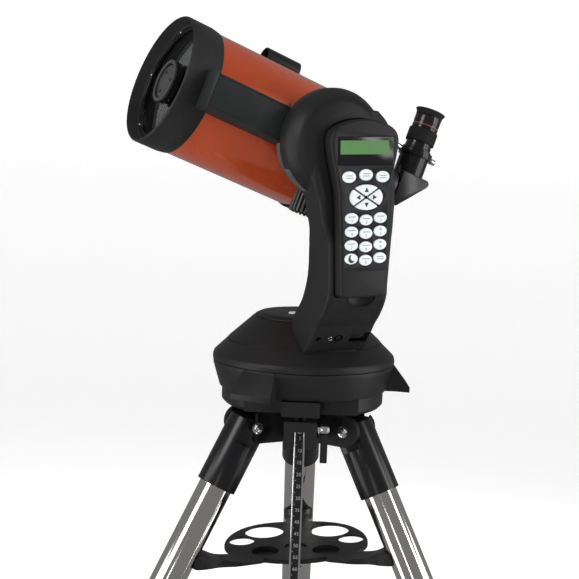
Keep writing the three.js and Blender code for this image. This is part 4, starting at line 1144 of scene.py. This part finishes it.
def stage_material(name, colour, glow):
    made = bpy.data.materials.new(name)
    made.use_nodes = True
    shader = made.node_tree.nodes["Principled BSDF"]
    settings(shader, {"Base Color": (*colour, 1), "Roughness": 0.9, "Specular IOR Level": 0.0,
                      "Emission Color": (1, 1, 1, 1), "Emission Strength": glow})
    return made


def studio_bowl():
    """Pale floor that curves up into a wall all round."""
    profile = [(0, 0), (5000, 0), (5600, 80), (6200, 380), (6600, 900), (6750, 1600), (6750, 5000)]
    verts, faces = [], []
    segments = 96
    points = soften(profile, 200, closed=False)
    for radius, height in points:
        for i in range(segments):
            a = 2 * math.pi * i / segments
            verts.append((radius * math.cos(a), radius * math.sin(a), height))
    for k in range(len(points) - 1):
        for i in range(segments):
            j = (i + 1) % segments
            faces.append((k * segments + i, k * segments + j, (k + 1) * segments + j,
                          (k + 1) * segments + i))
    mesh = bpy.data.meshes.new("studio_bowl")
    mesh.from_pydata([Vector(v) * 0.001 for v in verts], [], faces)
    mesh.materials.append(stage_material("pale_floor", (0.86, 0.86, 0.86), 0.36))
    mesh.shade_smooth()
    made = bpy.data.objects.new("studio_bowl", mesh)
    bpy.context.scene.collection.objects.link(made)
    made.visible_glossy = False


def softbox(name, at, target, size, power, glossy=True):
    light = bpy.data.lights.new(name, "AREA")
    light.shape = "RECTANGLE"
    light.size, light.size_y = size
    light.energy = power
    made = bpy.data.objects.new(name, light)
    made.location = at
    made.rotation_euler = (Vector(target) - Vector(at)).to_track_quat("-Z", "Y").to_euler()
    made.visible_camera = False
    made.visible_glossy = glossy
    bpy.context.scene.collection.objects.link(made)


studio_bowl()
scene = bpy.context.scene
world = bpy.data.worlds.new("studio")
scene.world = world
world.use_nodes = True
settings(world.node_tree.nodes["Background"], {"Color": (1, 1, 1, 1), "Strength": 0.22})
scene.view_settings.view_transform = "Standard"

# The camera stands where the photograph was taken from, in the tripod's frame (millimetres).
CAMERA_AT = (13.554, -1493.964, 336.677)
YAW, PITCH, ROLL = -0.022, -0.117, 0.039
forward = Vector((math.sin(YAW) * math.cos(PITCH), math.cos(YAW) * math.cos(PITCH), math.sin(PITCH)))
level_right = Vector((math.cos(YAW), -math.sin(YAW), 0))
level_up = level_right.cross(forward)
right = level_right * math.cos(ROLL) + level_up * math.sin(ROLL)
up = level_up * math.cos(ROLL) - level_right * math.sin(ROLL)
camera_data = bpy.data.cameras.new("camera")
camera_data.sensor_width = 36
camera_data.lens = 81.46
camera_data.clip_end = 50
camera = bpy.data.objects.new("camera", camera_data)
scene.collection.objects.link(camera)
turn = Matrix.Rotation(TRIPOD_TURN, 3, "Z")
axes = Matrix((turn @ right, turn @ up, -(turn @ forward))).transposed()
camera.matrix_world = Matrix.Translation(TRIPOD @ Vector(CAMERA_AT)) @ axes.to_4x4()
scene.camera = camera

aim = MOUNT @ Vector((-40, 0, 200))
eye = camera.matrix_world.translation
side = turn @ level_right
toward = (Vector((eye.x, eye.y, 0)) - Vector((aim.x, aim.y, 0))).normalized()
softbox("key_left", aim + toward * 1.3 - side * 1.5 + Vector((0, 0, 1.1)), aim, (0.9, 1.2), 20)
softbox("fill_right", aim + toward * 0.9 + side * 1.9 + Vector((0, 0, 0.4)), aim, (0.4, 1.5), 12)
softbox("top", aim + Vector((0, 0, 1.9)), aim, (1.8, 1.8), 34, glossy=False)
softbox("rim_back", aim - toward * 1.8 + side * 0.9 + Vector((0, 0, 1.0)), aim, (1.2, 1.2), 14,
        glossy=False)
low = aim - Vector((0, 0, 0.35))
softbox("strip_left", low + toward * 0.5 - side * 1.5, low, (0.75, 1.5), 11)
softbox("strip_front", low + toward * 1.9 - side * 0.35, low, (0.14, 1.2), 2.5)
softbox("strip_right", low + toward * 0.1 + side * 1.6, low, (0.6, 1.5), 9)
